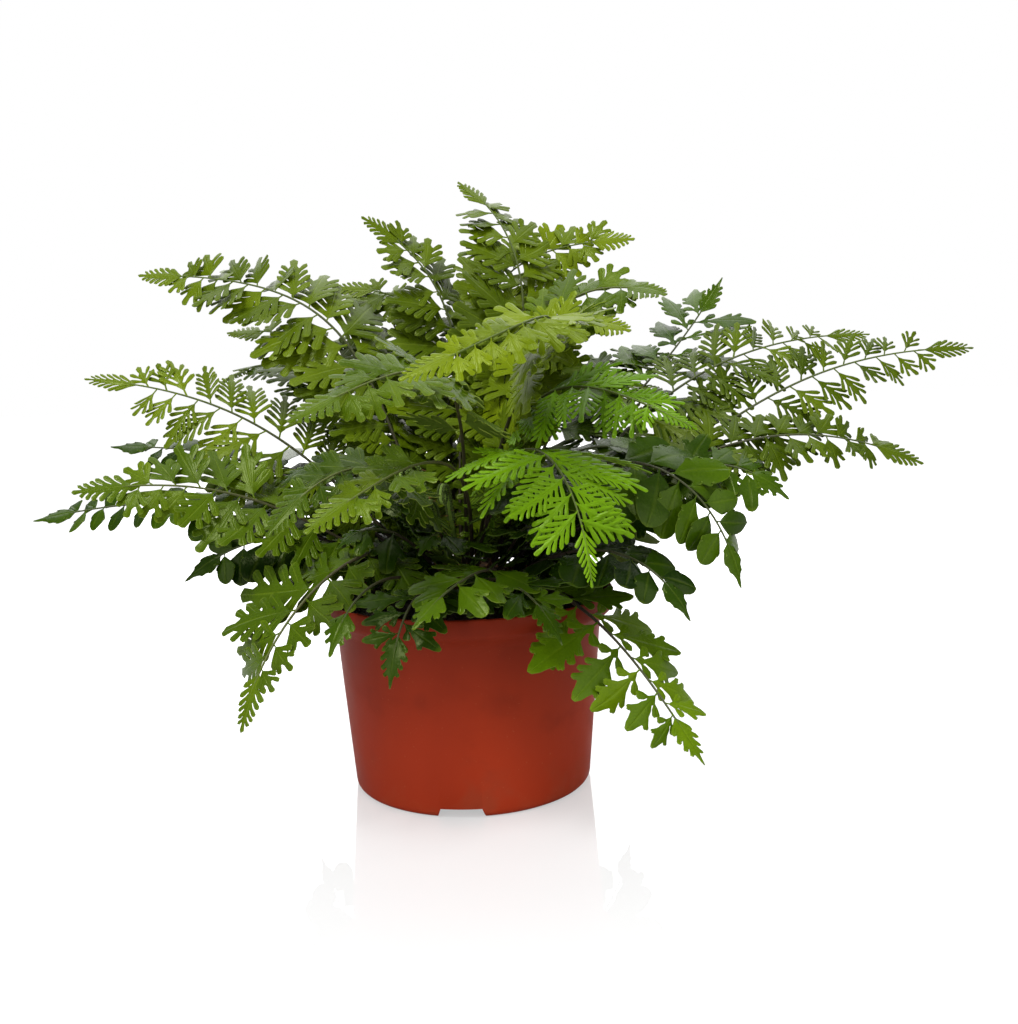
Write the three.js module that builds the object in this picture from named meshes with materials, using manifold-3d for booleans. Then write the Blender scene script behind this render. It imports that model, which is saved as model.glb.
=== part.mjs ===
// A small leathery spleenwort fern growing in a round plastic nursery pot.
// Millimetres, +Z up. The origin is the centre of the pot's underside, on the surface it stands on.
// +X is to the right of the plant's front, +Y to its back, so azimuth 0 points right and 270 to the front.

import * as THREE from 'three';
import { mergeVertices } from 'three/addons/utils/BufferGeometryUtils.js';
import Module from 'manifold-3d';

const manifold = await Module();
manifold.setup();

// ---------------------------------------------------------------- driving dimensions

const POT = {
  rimRadius: 60,
  height: 79.6,
  wall: 1.1,
  collarTopRadius: 54.5, // where the body meets the chamfer under the collar
  collarHeight: 7.1, // upright band at the rim
  chamferHeight: 4.3,
  footRadius: 48.9,
  footEdge: 3, // rounding between wall and foot
  footDepth: 3.9, // how far the floor is raised above the ground
  footWidth: 3,
  padRadius: 12, // centre of the floor, which dips back to the ground
  padSlope: 3,
  segments: 42,
};
// Notches in the foot ring, and drain slots through the floor.
const NOTCH = { count: 3, azimuth: 263.7, topWidth: 16, bottomWidth: 21.4, height: 3.8, reach: 14 };
const SLOT = { count: 6, azimuth: 30, width: 3.4, inner: 24, outer: 36, reach: 6 };
const SOIL = { edgeHeight: 76.2, crownHeight: 80, gap: 0.4 };
const CROWN = { radius: 23, height: 12, segments: 20 };

const STALK = { radius: 1.1, tipRadius: 0.45, sections: 4 };
const BLADE = {
  fold: -0.12, // leaflets hang a little below the midrib, as a share of their length
  slant: 0.42, // leaflets lean forward, as a share of their length
  notch: 1.3, // half width left between two leaflets
  thickness: 0.55,
};
// Leaflet spacing along one side, and the share of the frond that is bare stalk.
const FORMS = {
  broad: { spacing: 14, stalk: 0.3, colour: 0x37641c },
  lobed: { spacing: 12.5, stalk: 0.3, colour: 0x5c8426 },
  fine: { spacing: 11, stalk: 0.32, colour: 0x6fa520 },
};

const CROZIER = { foot: 62, radius: 1.7, sides: 6, stemSteps: 4, coilSteps: 16, turns: 1.3, tighten: 0.42 };
const croziers = [
  { azimuth: 254, lean: 66, height: 34, coil: 4.8 },
  { azimuth: 232, lean: 72, height: 25, coil: 4.2 },
  { azimuth: 208, lean: 78, height: 38, coil: 5.2 },
];

// How a frond may shift to find free space: turn round the crown, lift or sink its tip, roll, narrow.
const NUDGE = {
  turn: [0, 3, -3, 6, -6, 10, -10],
  lift: [0, 5, -5, 10, -10, 16, -16],
  roll: [0, 8, -8, 16, -16],
};
const NARROWER = [1, 0.85, 0.7, 0.55];
const CLEARANCE = 0.35;

const up = new THREE.Vector3(0, 0, 1);
const radians = THREE.MathUtils.degToRad;

// ---------------------------------------------------------------- solids

function solidOf(geometry) {
  const bare = geometry.clone();
  bare.deleteAttribute('normal');
  bare.deleteAttribute('uv');
  const merged = mergeVertices(bare, 1e-3);
  return new manifold.Manifold(new manifold.Mesh({
    numProp: 3,
    vertProperties: merged.attributes.position.array,
    triVerts: new Uint32Array(merged.index.array),
  }));
}

function geometryOf(solid) {
  const { vertProperties, triVerts } = solid.getMesh();
  const geometry = new THREE.BufferGeometry();
  geometry.setAttribute('position', new THREE.BufferAttribute(new Float32Array(vertProperties), 3));
  geometry.setIndex(new THREE.BufferAttribute(new Uint32Array(triVerts), 1));
  geometry.computeVertexNormals();
  return geometry;
}

// A profile of [radius, height] points turned about +Z.
function turned(profile, segments) {
  const points = profile.map(([r, z]) => new THREE.Vector2(r, z));
  return new THREE.LatheGeometry(points, segments).rotateX(Math.PI / 2);
}

// ---------------------------------------------------------------- pot

function potProfile() {
  const p = POT;
  const inner = p.wall;
  const floorTop = p.footDepth + p.wall;
  const chamferTop = p.height - p.collarHeight;
  const chamferFoot = chamferTop - p.chamferHeight;
  const outerEdge = [];
  for (let i = 0; i <= 3; i++) {
    const a = (i / 3) * Math.PI / 2;
    outerEdge.push([
      p.footRadius - p.footEdge + p.footEdge * Math.sin(a),
      p.footEdge - p.footEdge * Math.cos(a),
    ]);
  }
  return [
    [0, 0],
    [p.padRadius, 0],
    [p.padRadius + p.padSlope, p.footDepth],
    [p.footRadius - p.footEdge - p.footWidth, p.footDepth],
    [p.footRadius - p.footEdge - p.footWidth, 0],
    ...outerEdge,
    [p.collarTopRadius, chamferFoot],
    [p.rimRadius, chamferTop],
    [p.rimRadius, p.height - 0.6],
    [p.rimRadius - 0.6, p.height],
    [p.rimRadius - 1.6, p.height],
    [p.rimRadius - inner, chamferTop + 0.3],
    [p.collarTopRadius - inner, chamferFoot + 0.3],
    [p.footRadius - inner - 0.6, floorTop + 2],
    [p.footRadius - inner - 2.6, floorTop],
    [p.padRadius + p.padSlope, floorTop],
    [p.padRadius, p.wall],
    [0, p.wall],
  ];
}

function notchCutter(azimuth) {
  const shape = new THREE.Shape([
    new THREE.Vector2(-NOTCH.bottomWidth / 2, -1),
    new THREE.Vector2(NOTCH.bottomWidth / 2, -1),
    new THREE.Vector2(NOTCH.topWidth / 2, NOTCH.height),
    new THREE.Vector2(-NOTCH.topWidth / 2, NOTCH.height),
  ]);
  return new THREE.ExtrudeGeometry(shape, { depth: NOTCH.reach, bevelEnabled: false })
    .rotateX(Math.PI / 2)
    .rotateZ(Math.PI / 2)
    .translate(POT.footRadius - NOTCH.reach + 4, 0, 0)
    .rotateZ(azimuth);
}

function slotCutter(azimuth) {
  return new THREE.BoxGeometry(SLOT.outer - SLOT.inner, SLOT.width, SLOT.reach)
    .translate((SLOT.inner + SLOT.outer) / 2, 0, POT.footDepth + POT.wall / 2)
    .rotateZ(azimuth);
}

function potSolid() {
  let pot = solidOf(turned(potProfile(), POT.segments));
  for (let i = 0; i < NOTCH.count; i++) {
    pot = pot.subtract(solidOf(notchCutter(radians(NOTCH.azimuth + i * 360 / NOTCH.count))));
  }
  for (let i = 0; i < SLOT.count; i++) {
    pot = pot.subtract(solidOf(slotCutter(radians(SLOT.azimuth + i * 360 / SLOT.count))));
  }
  return pot;
}

// ---------------------------------------------------------------- soil and crown

function soilSolid() {
  const p = POT;
  const g = SOIL.gap;
  const floorTop = p.footDepth + p.wall + g;
  const wallAt = (z) => {
    const chamferFoot = p.height - p.collarHeight - p.chamferHeight + 0.3;
    const low = p.footRadius - p.wall - 0.6;
    const high = p.collarTopRadius - p.wall;
    return THREE.MathUtils.mapLinear(z, floorTop - g + 2, chamferFoot, low, high) - g;
  };
  const seat = CROWN.radius + g;
  return solidOf(turned([
    [0, p.wall + g],
    [p.padRadius - 0.3, p.wall + g],
    [p.padRadius + p.padSlope - 0.3, floorTop],
    [wallAt(floorTop) - 3, floorTop],
    [wallAt(floorTop + 2.6), floorTop + 2.6],
    [wallAt(68.3), 68.3],
    [p.rimRadius - p.wall - 0.9, 73.1],
    [p.rimRadius - p.wall - 0.9, SOIL.edgeHeight],
    [seat + 10, SOIL.crownHeight - 1.2],
    [seat, SOIL.crownHeight],
    [seat, SOIL.crownHeight - 4],
    [0, SOIL.crownHeight - 4],
  ], POT.segments));
}

// The rhizome: a low knobbly dome that the stalks rise from.
function crownSolid() {
  const base = SOIL.crownHeight - 4 + SOIL.gap;
  const steps = 6;
  const profile = [[0, base], [CROWN.radius, base], [CROWN.radius, SOIL.crownHeight]];
  for (let i = 1; i <= steps; i++) {
    const a = (i / steps) * Math.PI / 2;
    profile.push([
      i === steps ? 0 : CROWN.radius * Math.cos(a),
      SOIL.crownHeight + CROWN.height * Math.sin(a),
    ]);
  }
  return solidOf(turned(profile, CROWN.segments));
}

// A point just clear of the crown's surface.
function onCrown(azimuth, elevation, gap) {
  const a = radians(azimuth);
  const e = radians(elevation);
  return new THREE.Vector3(
    (CROWN.radius + gap) * Math.cos(e) * Math.cos(a),
    (CROWN.radius + gap) * Math.cos(e) * Math.sin(a),
    SOIL.crownHeight + (CROWN.height + gap) * Math.sin(e),
  );
}

// ---------------------------------------------------------------- fronds

// Rings of points, clockwise seen from the tip, capped at the first ring and run to a point at the last.
function loft(rings, tip) {
  const n = rings[0].length;
  const positions = [];
  for (const ring of rings) for (const p of ring) positions.push(p.x, p.y, p.z);
  positions.push(tip.x, tip.y, tip.z);
  const index = [];
  for (let k = 1; k + 1 < n; k++) index.push(0, k + 1, k);
  for (let r = 0; r + 1 < rings.length; r++) {
    for (let k = 0; k < n; k++) {
      const a = n * r + k;
      const b = n * r + (k + 1) % n;
      index.push(a, b, a + n, b, b + n, a + n);
    }
  }
  const last = n * (rings.length - 1);
  for (let k = 0; k < n; k++) index.push(last + k, last + (k + 1) % n, positions.length / 3 - 1);
  const geometry = new THREE.BufferGeometry();
  geometry.setAttribute('position', new THREE.BufferAttribute(new Float32Array(positions), 3));
  geometry.setIndex(index);
  geometry.computeVertexNormals();
  return geometry;
}

function outward(azimuth, elevation) {
  const a = radians(azimuth);
  const e = radians(elevation);
  return new THREE.Vector3(Math.cos(e) * Math.cos(a), Math.cos(e) * Math.sin(a), Math.sin(e));
}

// The midrib: from the crown at the rise angle, to the tip at the droop angle.
function midrib({ azimuth, reach, tip, rise, droop, sweep, arch }) {
  const start = onCrown(azimuth - sweep, Math.max(10, rise - 12), STALK.radius + 0.5);
  const end = outward(azimuth, 0).multiplyScalar(reach).setZ(tip);
  const pull = start.distanceTo(end) * arch;
  return new THREE.CubicBezierCurve3(
    start,
    start.clone().addScaledVector(outward(azimuth - sweep, rise), pull),
    end.clone().addScaledVector(outward(azimuth + sweep, droop), -pull),
    end,
  );
}

// Leaflet length along the blade, u from 0 at its base to 1 at its tip.
function outline(u) {
  return Math.min(1, 0.6 + 2.2 * u) * Math.pow(1 - u, 0.85) * 1.17;
}

// Width is the half width at the widest leaflet. Extra thickens the solid, to test how near others come.
function frondGeometry(plan, extra = 0) {
  const form = FORMS[plan.form];
  const line = midrib(plan);
  const length = line.getLength();
  const pairs = Math.max(4, Math.round(length * (1 - form.stalk) / form.spacing));
  const steps = 2 * pairs;
  const at = [];
  for (let i = 0; i < STALK.sections; i++) at.push({ s: form.stalk * i / STALK.sections, reach: null });
  for (let j = 0; j <= steps; j++) {
    const u = j / (steps + 1);
    at.push({ s: form.stalk + (1 - form.stalk) * (1 - Math.pow(1 - u, 1.15)), reach: outline(u), j });
  }
  // The blade lies level at its tip, and is carried back down the midrib without twisting.
  const sides = [];
  const carried = new THREE.Vector3().crossVectors(line.getTangentAt(1), up).normalize();
  for (let i = at.length - 1; i >= 0; i--) {
    const forward = line.getTangentAt(at[i].s);
    carried.addScaledVector(forward, -carried.dot(forward)).normalize();
    sides[i] = carried.clone();
  }
  const rings = at.map(({ s, reach, j }, i) => {
    const centre = line.getPointAt(s);
    const forward = line.getTangentAt(s);
    const side = sides[i].clone().applyAxisAngle(forward, radians(plan.roll) * Math.min(1, s * 2));
    const over = new THREE.Vector3().crossVectors(side, forward).normalize();
    const stalk = THREE.MathUtils.lerp(STALK.radius, STALK.tipRadius, s) + extra;
    const edge = (hand, long) => {
      const w = reach === null ? stalk : (long ? plan.half * reach : BLADE.notch) + extra;
      const tilt = long ? BLADE.fold * w : 0;
      const slant = long ? BLADE.slant * w : 0;
      return centre.clone().addScaledVector(side, hand * w)
        .addScaledVector(forward, slant).addScaledVector(over, tilt);
    };
    const half = (reach === null ? stalk : BLADE.thickness + extra);
    return [
      edge(-1, reach !== null && j % 2 === 0),
      centre.clone().addScaledVector(over, half),
      edge(1, reach !== null && j % 2 === 1),
      centre.clone().addScaledVector(over, -half),
    ];
  });
  return loft(rings, line.getPointAt(1));
}

// A young frond still rolled up: a stem that leans outwards, then winds in on itself.
function crozierGeometry({ azimuth, lean, height, coil }) {
  const start = onCrown(azimuth, CROZIER.foot, CROZIER.radius + 0.5);
  const direction = outward(azimuth, lean);
  const inward = outward(azimuth, lean - 90);
  const top = start.clone().addScaledVector(direction, height);
  const rings = [];
  const sides = CROZIER.sides;
  const side = new THREE.Vector3().crossVectors(direction, inward).normalize();
  const addRing = (centre, over, radius) => {
    const ring = [];
    for (let k = 0; k < sides; k++) {
      const a = (k / sides) * 2 * Math.PI;
      ring.push(centre.clone().addScaledVector(over, radius * Math.cos(a))
        .addScaledVector(side, -radius * Math.sin(a)));
    }
    rings.push(ring);
  };
  const opposite = inward.clone().negate();
  for (let i = 0; i < CROZIER.stemSteps; i++) {
    const rise = height * i / CROZIER.stemSteps;
    addRing(start.clone().addScaledVector(direction, rise), opposite, CROZIER.radius);
  }
  const centre = top.clone().addScaledVector(inward, coil);
  for (let i = 0; i <= CROZIER.coilSteps; i++) {
    const share = i / CROZIER.coilSteps;
    const a = share * CROZIER.turns * 2 * Math.PI;
    const over = opposite.clone().multiplyScalar(Math.cos(a)).addScaledVector(direction, Math.sin(a));
    const r = coil * Math.pow(CROZIER.tighten, share * CROZIER.turns);
    addRing(centre.clone().addScaledVector(over, r), over, CROZIER.radius * (1 - 0.6 * share));
  }
  const end = CROZIER.turns * 2 * Math.PI + 0.5;
  const over = opposite.clone().multiplyScalar(Math.cos(end)).addScaledVector(direction, Math.sin(end));
  return loft(rings, centre.addScaledVector(over, coil * Math.pow(CROZIER.tighten, CROZIER.turns)));
}

// ---------------------------------------------------------------- where the fronds grow

// Fronds that show at the front and sides: form, azimuth, reach and height of the tip, angle of rise
// from the crown, droop at the tip, roll of the blade, half width, then sweep to one side and arch.
const shown = [
  // front
  ['fine', 291, 112, 99, 74, -80, 0, 31, 0, 0.62],
  ['fine', 311, 119, 148, 76, -22, 12, 26, 0, 0.62],
  ['lobed', 245, 126, 156, 77, -22, -24, 28, -26, 0.6],
  ['fine', 262, 131, 168, 84, -22, -12, 24, -66, 0.66],
  ['lobed', 250, 127, 138, 66, -28, -20, 22, -30, 0.5],
  ['lobed', 236, 116, 118, 58, -46, -16, 22, -16, 0.5],
  ['broad', 258, 92, 84, 30, -40, 0, 21, -34],
  ['broad', 309, 124, 35, 20, -48, -8, 26, 0, 0.36],
  ['broad', 253, 94, 64, 24, -70, 0, 17],
  ['broad', 240, 96, 74, 28, -60, 0, 18],
  ['broad', 290, 92, 76, 26, -56, 0, 18, 16],
  // top
  ['fine', 88, 50, 250, 76, 30, -10, 24, 50],
  ['fine', 22, 82, 222, 82, -2, 26, 22, -50, 0.6],
  ['lobed', 340, 86, 195, 84, -14, 14, 25, -30, 0.6],
  ['fine', 142, 50, 234, 80, 30, -18, 22, 40],
  ['fine', 128, 74, 222, 74, 0, -26, 24, 30, 0.5],
  ['fine', 326, 76, 182, 80, -14, 16, 20, -16, 0.6],
  // left
  ['lobed', 200, 150, 130, 34, -6, -40, 27],
  ['broad', 181, 173, 114, 30, -12, -14, 15],
  ['broad', 171, 150, 141, 44, 0, -24, 14],
  ['fine', 182, 148, 170, 50, 6, -44, 26],
  ['fine', 168, 136, 212, 72, 2, -44, 27, 0, 0.55],
  ['fine', 150, 120, 188, 62, -4, -24, 24, 0, 0.5],
  ['lobed', 224, 112, 47, 50, -74, 0, 27],
  ['broad', 192, 112, 91, 36, -40, -20, 20],
  // right
  ['fine', 0, 210, 172, 32, -2, 46, 24],
  ['broad', 354, 181, 128, 38, -26, 26, 17],
  ['fine', 9, 179, 179, 50, -2, 44, 24],
  ['broad', 20, 128, 206, 54, 54, 24, 17],
  ['broad', 329, 116, 88, 64, -78, 10, 20, 0, 0.62],
  ['broad', 346, 129, 117, 38, -46, 20, 17],
  ['broad', 316, 108, 80, 34, -60, 0, 18],
].map(([form, azimuth, reach, tip, rise, droop, roll, half, sweep = 0, arch = 0.42]) => (
  { form, azimuth, reach, tip, rise, droop, roll, half, sweep, arch }));

// Tiers of fronds round the back and sides, and short ones that fill the middle.
function tier(form, from, to, count, rest) {
  return Array.from({ length: count }, (_, i) => (
    { form, azimuth: from + (to - from) * i / Math.max(1, count - 1), roll: 0, sweep: 0, arch: 0.45, ...rest }));
}
const hidden = [
  ...tier('lobed', 40, 140, 4, { reach: 150, tip: 165, rise: 60, droop: -24, half: 26 }),
  ...tier('broad', 30, 150, 4, { reach: 142, tip: 108, rise: 42, droop: -46, half: 25 }),
  ...tier('fine', 112, 172, 1, { reach: 112, tip: 205, rise: 72, droop: -12, half: 22 }),
  ...tier('broad', 45, 135, 3, { reach: 108, tip: 68, rise: 40, droop: -70, half: 23 }),
  ...tier('broad', 204, 342, 5, { reach: 76, tip: 128, rise: 68, droop: -30, half: 18, sweep: 20 }),
  ...tier('broad', 212, 338, 4, { reach: 62, tip: 104, rise: 52, droop: -44, half: 17, sweep: -14 }),
  ...tier('broad', 62, 118, 2, { reach: 74, tip: 122, rise: 58, droop: -50, half: 20 }),
];

// Each frond takes the first free place near where it would grow, in a frond's own order of preference.
function candidates() {
  const all = [];
  for (const turn of NUDGE.turn) {
    for (const lift of NUDGE.lift) {
      for (const roll of NUDGE.roll) {
        all.push({ turn, lift, roll, cost: Math.abs(turn) + Math.abs(lift) * 0.7 + Math.abs(roll) * 0.35 });
      }
    }
  }
  return all.sort((a, b) => a.cost - b.cost);
}

function boxesMeet(a, b) {
  return [0, 1, 2].every((k) => a.min[k] <= b.max[k] && b.min[k] <= a.max[k]);
}

function growFrond(plan, others, nudges) {
  for (const narrow of NARROWER) {
    for (const { turn, lift, roll } of nudges) {
      const tried = {
        ...plan,
        azimuth: plan.azimuth + turn,
        tip: plan.tip + lift,
        roll: plan.roll + roll,
        half: plan.half * narrow,
      };
      const wide = solidOf(frondGeometry(tried, CLEARANCE));
      const box = wide.boundingBox();
      const hit = others.findIndex((o) => boxesMeet(box, o.box) && !wide.intersect(o.solid).isEmpty());
      if (hit < 0) return tried;
      others.unshift(...others.splice(hit, 1)); // the neighbour in the way is likely to be in the way again
    }
  }
  return null;
}

// ---------------------------------------------------------------- assembly

const materials = {
  pot: new THREE.MeshStandardMaterial({ color: 0x94311c, roughness: 0.45, metalness: 0 }),
  soil: new THREE.MeshStandardMaterial({ color: 0x1d130d, roughness: 1, metalness: 0 }),
  crown: new THREE.MeshStandardMaterial({ color: 0x3a2a17, roughness: 0.9, metalness: 0 }),
  crozier: new THREE.MeshStandardMaterial({ color: 0x5f7c2c, roughness: 0.6, metalness: 0 }),
};
for (const [name, { colour }] of Object.entries(FORMS)) {
  materials[name] = new THREE.MeshStandardMaterial({ color: colour, roughness: 0.4, metalness: 0 });
}

const plant = new THREE.Group();
const placed = [];

function add(name, geometry, material) {
  const mesh = new THREE.Mesh(geometry, material);
  mesh.name = name;
  plant.add(mesh);
  const solid = solidOf(geometry);
  placed.push({ name, solid, box: solid.boundingBox() });
}

add('nursery_pot', geometryOf(potSolid()), materials.pot);
add('potting_soil', geometryOf(soilSolid()), materials.soil);
add('crown', geometryOf(crownSolid()), materials.crown);

croziers.forEach((plan, i) => add(`crozier_${i + 1}`, crozierGeometry(plan), materials.crozier));

const nudges = candidates();
const counts = {};
for (const plan of [...shown, ...hidden]) {
  const grown = growFrond(plan, placed, nudges);
  if (!grown) continue; // the crown is crowded, so a frond with no free place does not grow
  counts[plan.form] = (counts[plan.form] ?? 0) + 1;
  const name = `frond_${plan.form}_${String(counts[plan.form]).padStart(2, '0')}`;
  add(name, frondGeometry(grown), materials[plan.form]);
}

export default plant;
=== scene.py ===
# %% [markdown]
# # A small leathery fern in its nursery pot
# The solid model of the plant is loaded first, as a frame that never moves. Each of its plain
# solids is then replaced by a detailed piece in the same place: a moulded pot, peat compost, the
# scaly crown, three young fronds still rolled up, and every open frond with its own leaflets.

# %% Load the frame
import math
import random

import bmesh
import bpy
import numpy as np
from mathutils import Matrix, Vector


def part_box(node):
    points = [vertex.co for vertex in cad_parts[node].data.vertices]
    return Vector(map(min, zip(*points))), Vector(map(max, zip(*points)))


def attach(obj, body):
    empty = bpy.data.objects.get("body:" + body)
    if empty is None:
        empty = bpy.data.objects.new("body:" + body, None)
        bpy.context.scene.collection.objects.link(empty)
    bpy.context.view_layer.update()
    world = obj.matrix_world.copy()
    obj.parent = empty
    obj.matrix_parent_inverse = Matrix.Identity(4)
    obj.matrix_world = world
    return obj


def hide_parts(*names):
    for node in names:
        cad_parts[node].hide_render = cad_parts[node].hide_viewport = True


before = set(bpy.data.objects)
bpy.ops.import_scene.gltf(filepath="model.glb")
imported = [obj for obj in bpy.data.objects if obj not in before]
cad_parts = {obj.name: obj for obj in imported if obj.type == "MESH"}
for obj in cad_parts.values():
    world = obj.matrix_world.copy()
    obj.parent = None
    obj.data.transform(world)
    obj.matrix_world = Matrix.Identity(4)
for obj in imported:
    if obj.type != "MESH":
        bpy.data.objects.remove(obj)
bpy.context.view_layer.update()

MM = 0.001

# %% [markdown]
# ## Finishes
# A finish is a material whose colour, roughness and bump are worked out by nodes. The sums are
# written as ordinary Python: a wire stands for a socket, and adding or multiplying wires adds the
# Math nodes. Colours go through a Mix node instead, because a Math node would turn them grey. The
# same kit serves the floor and the world's light.


# %% Wires
class Wire:
    """A socket that takes part in sums. Each sum becomes one Math node."""

    def __init__(self, tree, socket):
        self.tree = tree
        self.socket = socket

    def sum(self, operation, first, second):
        node = self.tree.nodes.new("ShaderNodeMath")
        node.operation = operation
        for slot, value in zip(node.inputs, (first, second)):
            if isinstance(value, Wire):
                self.tree.links.new(value.socket, slot)
            else:
                slot.default_value = value
        return Wire(self.tree, node.outputs[0])

    def __add__(self, other):
        return self.sum("ADD", self, other)

    def __radd__(self, other):
        return self.sum("ADD", other, self)

    def __sub__(self, other):
        return self.sum("SUBTRACT", self, other)

    def __rsub__(self, other):
        return self.sum("SUBTRACT", other, self)

    def __mul__(self, other):
        return self.sum("MULTIPLY", self, other)

    def __rmul__(self, other):
        return self.sum("MULTIPLY", other, self)


print("wires add, subtract and multiply")


# %% Nodes
WHITE = (1, 1, 1, 1)


class Nodes:
    """The nodes of a material, or of the world."""

    def __init__(self, tree):
        self.tree = tree

    def node(self, kind, settings=None, sockets=None, out=0):
        """Any node: its settings are set first, and then its sockets."""
        node = self.tree.nodes.new(kind)
        for key, value in (settings or {}).items():
            if key == "stops":
                self.set_stops(node.color_ramp, value)
            else:
                setattr(node, key, value)
        for key, value in (sockets or {}).items():
            socket = next(s for s in node.inputs if key in (s.identifier, s.name))
            if isinstance(value, Wire):
                self.tree.links.new(value.socket, socket)
            else:
                socket.default_value = value
        found = [s for s in node.outputs if out in (s.identifier, s.name)]
        return Wire(self.tree, found[0] if found else node.outputs[out])

    def set_stops(self, ramp, stops):
        while len(ramp.elements) < len(stops):
            ramp.elements.new(1)
        for element, (place, colour) in zip(ramp.elements, stops):
            element.position = place
            element.color = colour


print("nodes ready")


# %% Finishes
class Finish(Nodes):
    """One material: its nodes, and its shader's settings."""

    def __init__(self, name, **constants):
        self.material = bpy.data.materials.new(name)
        self.material.use_nodes = True
        super().__init__(self.material.node_tree)
        self.shader = self.tree.nodes["Principled BSDF"]
        for name, value in constants.items():
            self.named(name).default_value = value

    def named(self, name):
        """The shader's socket of that name, written in Python's way, such as base_color."""
        return next(s for s in self.shader.inputs if s.name.lower() == name.replace("_", " "))

    def place(self):
        return self.node("ShaderNodeTexCoord", out="Object")

    def noise(self, scale, detail=3, stretch=None):
        """Cloudy variation from 0 to 1. Scale is in features per metre."""
        where = self.place()
        if stretch:
            where = self.node("ShaderNodeMapping", {}, {"Vector": where, "Scale": stretch})
        sizes = {"Vector": where, "Scale": scale, "Detail": detail}
        return self.node("ShaderNodeTexNoise", {}, sizes)

    def marked(self, name):
        """A value painted on the mesh."""
        return self.node("ShaderNodeAttribute", {"attribute_name": name}, {}, out="Fac")

    def rise(self, value, low, high):
        """0 below low, 1 above high, and smooth between."""
        return self.node(
            "ShaderNodeMapRange",
            {"interpolation_type": "SMOOTHSTEP"},
            {"Value": value, "From Min": low, "From Max": high},
        )

    def blend(self, share, first, second, how="MIX"):
        return self.node(
            "ShaderNodeMix",
            {"data_type": "RGBA", "blend_type": how},
            {"Factor_Float": share, "A_Color": first, "B_Color": second},
            out="Result_Color",
        )

    def ramp(self, value, stops):
        return self.node("ShaderNodeValToRGB", {"stops": stops}, {"Fac": value}, out="Color")

    def bump(self, height, depth, strength=1.0):
        sizes = {"Height": height, "Distance": depth, "Strength": strength}
        return self.node("ShaderNodeBump", {}, sizes, out="Normal")

    def use(self, **wires):
        for name, wire in wires.items():
            self.tree.links.new(wire.socket, self.named(name))
        return self.material


def colour(red, green, blue):
    """A colour as a screen shows it, from 0 to 255, as the linear colour that nodes want."""
    shares = [c / 255 for c in (red, green, blue)]
    linear = [s / 12.92 if s <= 0.04045 else ((s + 0.055) / 1.055) ** 2.4 for s in shares]
    return (*linear, 1.0)


print("finish kit ready")

# %% [markdown]
# ## Camera, light and floor
# The plant stands on a white sweep in a bright studio. The camera is a little above the leaves and
# looks slightly down. Four broad suns, from the top, both sides and the back, make soft shadows.
# The world is seen as white, but gives only a little light, so that the shade stays deep.

# %% Camera
scene = bpy.context.scene
EYE = Vector((0, -0.4715, 0.1739))
LOOK_DOWN, LOOK_RIGHT, TILT = 0.133, 0.038, 0.029

camera = bpy.data.objects.new("camera", bpy.data.cameras.new("camera"))
scene.collection.objects.link(camera)
camera.data.lens = 40.81
camera.data.sensor_width = 36
turn = Matrix.Rotation(-LOOK_RIGHT, 4, "Z") @ Matrix.Rotation(math.pi / 2 - LOOK_DOWN, 4, "X")
camera.matrix_world = Matrix.Translation(EYE) @ turn @ Matrix.Rotation(-TILT, 4, "Z")
scene.camera = camera
scene.view_settings.view_transform = "Standard"
print("camera at", [round(v, 3) for v in EYE], "lens", round(camera.data.lens, 1))

# %% Light
SKY_LIGHT, SKY_SEEN = 0.2, 1.0
world = bpy.data.worlds.new("studio")
world.use_nodes = True
scene.world = world
sky = Nodes(world.node_tree)
camera_ray = sky.node("ShaderNodeLightPath", out="Is Camera Ray")
mirror_ray = sky.node("ShaderNodeLightPath", out="Is Singular Ray")
sky_strength = sky.node(
    "ShaderNodeMix", {},
    {
        "Factor_Float": camera_ray.sum("MAXIMUM", camera_ray, mirror_ray),
        "A_Float": SKY_LIGHT, "B_Float": SKY_SEEN,
    },
    out="Result_Float",
)
background = sky.tree.nodes["Background"]
background.inputs["Color"].default_value = WHITE
sky.tree.links.new(sky_strength.socket, background.inputs["Strength"])


def sun(name, strength, spread, tip, azimuth):
    """A soft sun, tipped from straight down and turned towards an azimuth."""
    light = bpy.data.lights.new(name, "SUN")
    light.energy = strength
    light.angle = math.radians(spread)
    lamp = bpy.data.objects.new(name, light)
    scene.collection.objects.link(lamp)
    lamp.rotation_euler = (math.radians(tip), 0, math.radians(azimuth))
    return lamp


sun("top_light", 2.4, 20, 24, -20)
sun("left_light", 1.05, 50, 62, -46)
sun("right_light", 0.95, 50, 62, 48)
sun("back_light", 2.0, 80, 46, 180)


# %% Floor
def select_only(*pieces):
    """Selects these pieces and nothing else. The first one is the active one."""
    bpy.ops.object.select_all(action="DESELECT")
    for piece in pieces:
        piece.select_set(True)
    if pieces:
        bpy.context.view_layer.objects.active = pieces[0]


FLOOR_HALF, FLOOR_GLOW, FLOOR_IOR = 4.0, 0.58, 1.7
select_only()
bpy.ops.mesh.primitive_plane_add(size=2 * FLOOR_HALF, location=(0, 0, 0))
floor = bpy.context.object
floor.name = "floor"
white = Finish(
    "white_sweep", roughness=0.6, base_color=(0.42, 0.42, 0.42, 1), specular_ior_level=0.0
)
matt = Wire(white.tree, white.shader.outputs[0])
glow = white.node("ShaderNodeEmission", {}, {"Strength": FLOOR_GLOW})
glowing = white.node("ShaderNodeAddShader", {}, {"Shader": matt, "Shader_001": glow})
camera_ray = white.node("ShaderNodeLightPath", out="Is Camera Ray")
sweep = white.node(
    "ShaderNodeMixShader", {}, {"Fac": camera_ray, "Shader": matt, "Shader_001": glowing}
)
mirror = white.node("ShaderNodeBsdfGlossy", {}, {"Color": WHITE, "Roughness": 0.0})
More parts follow.
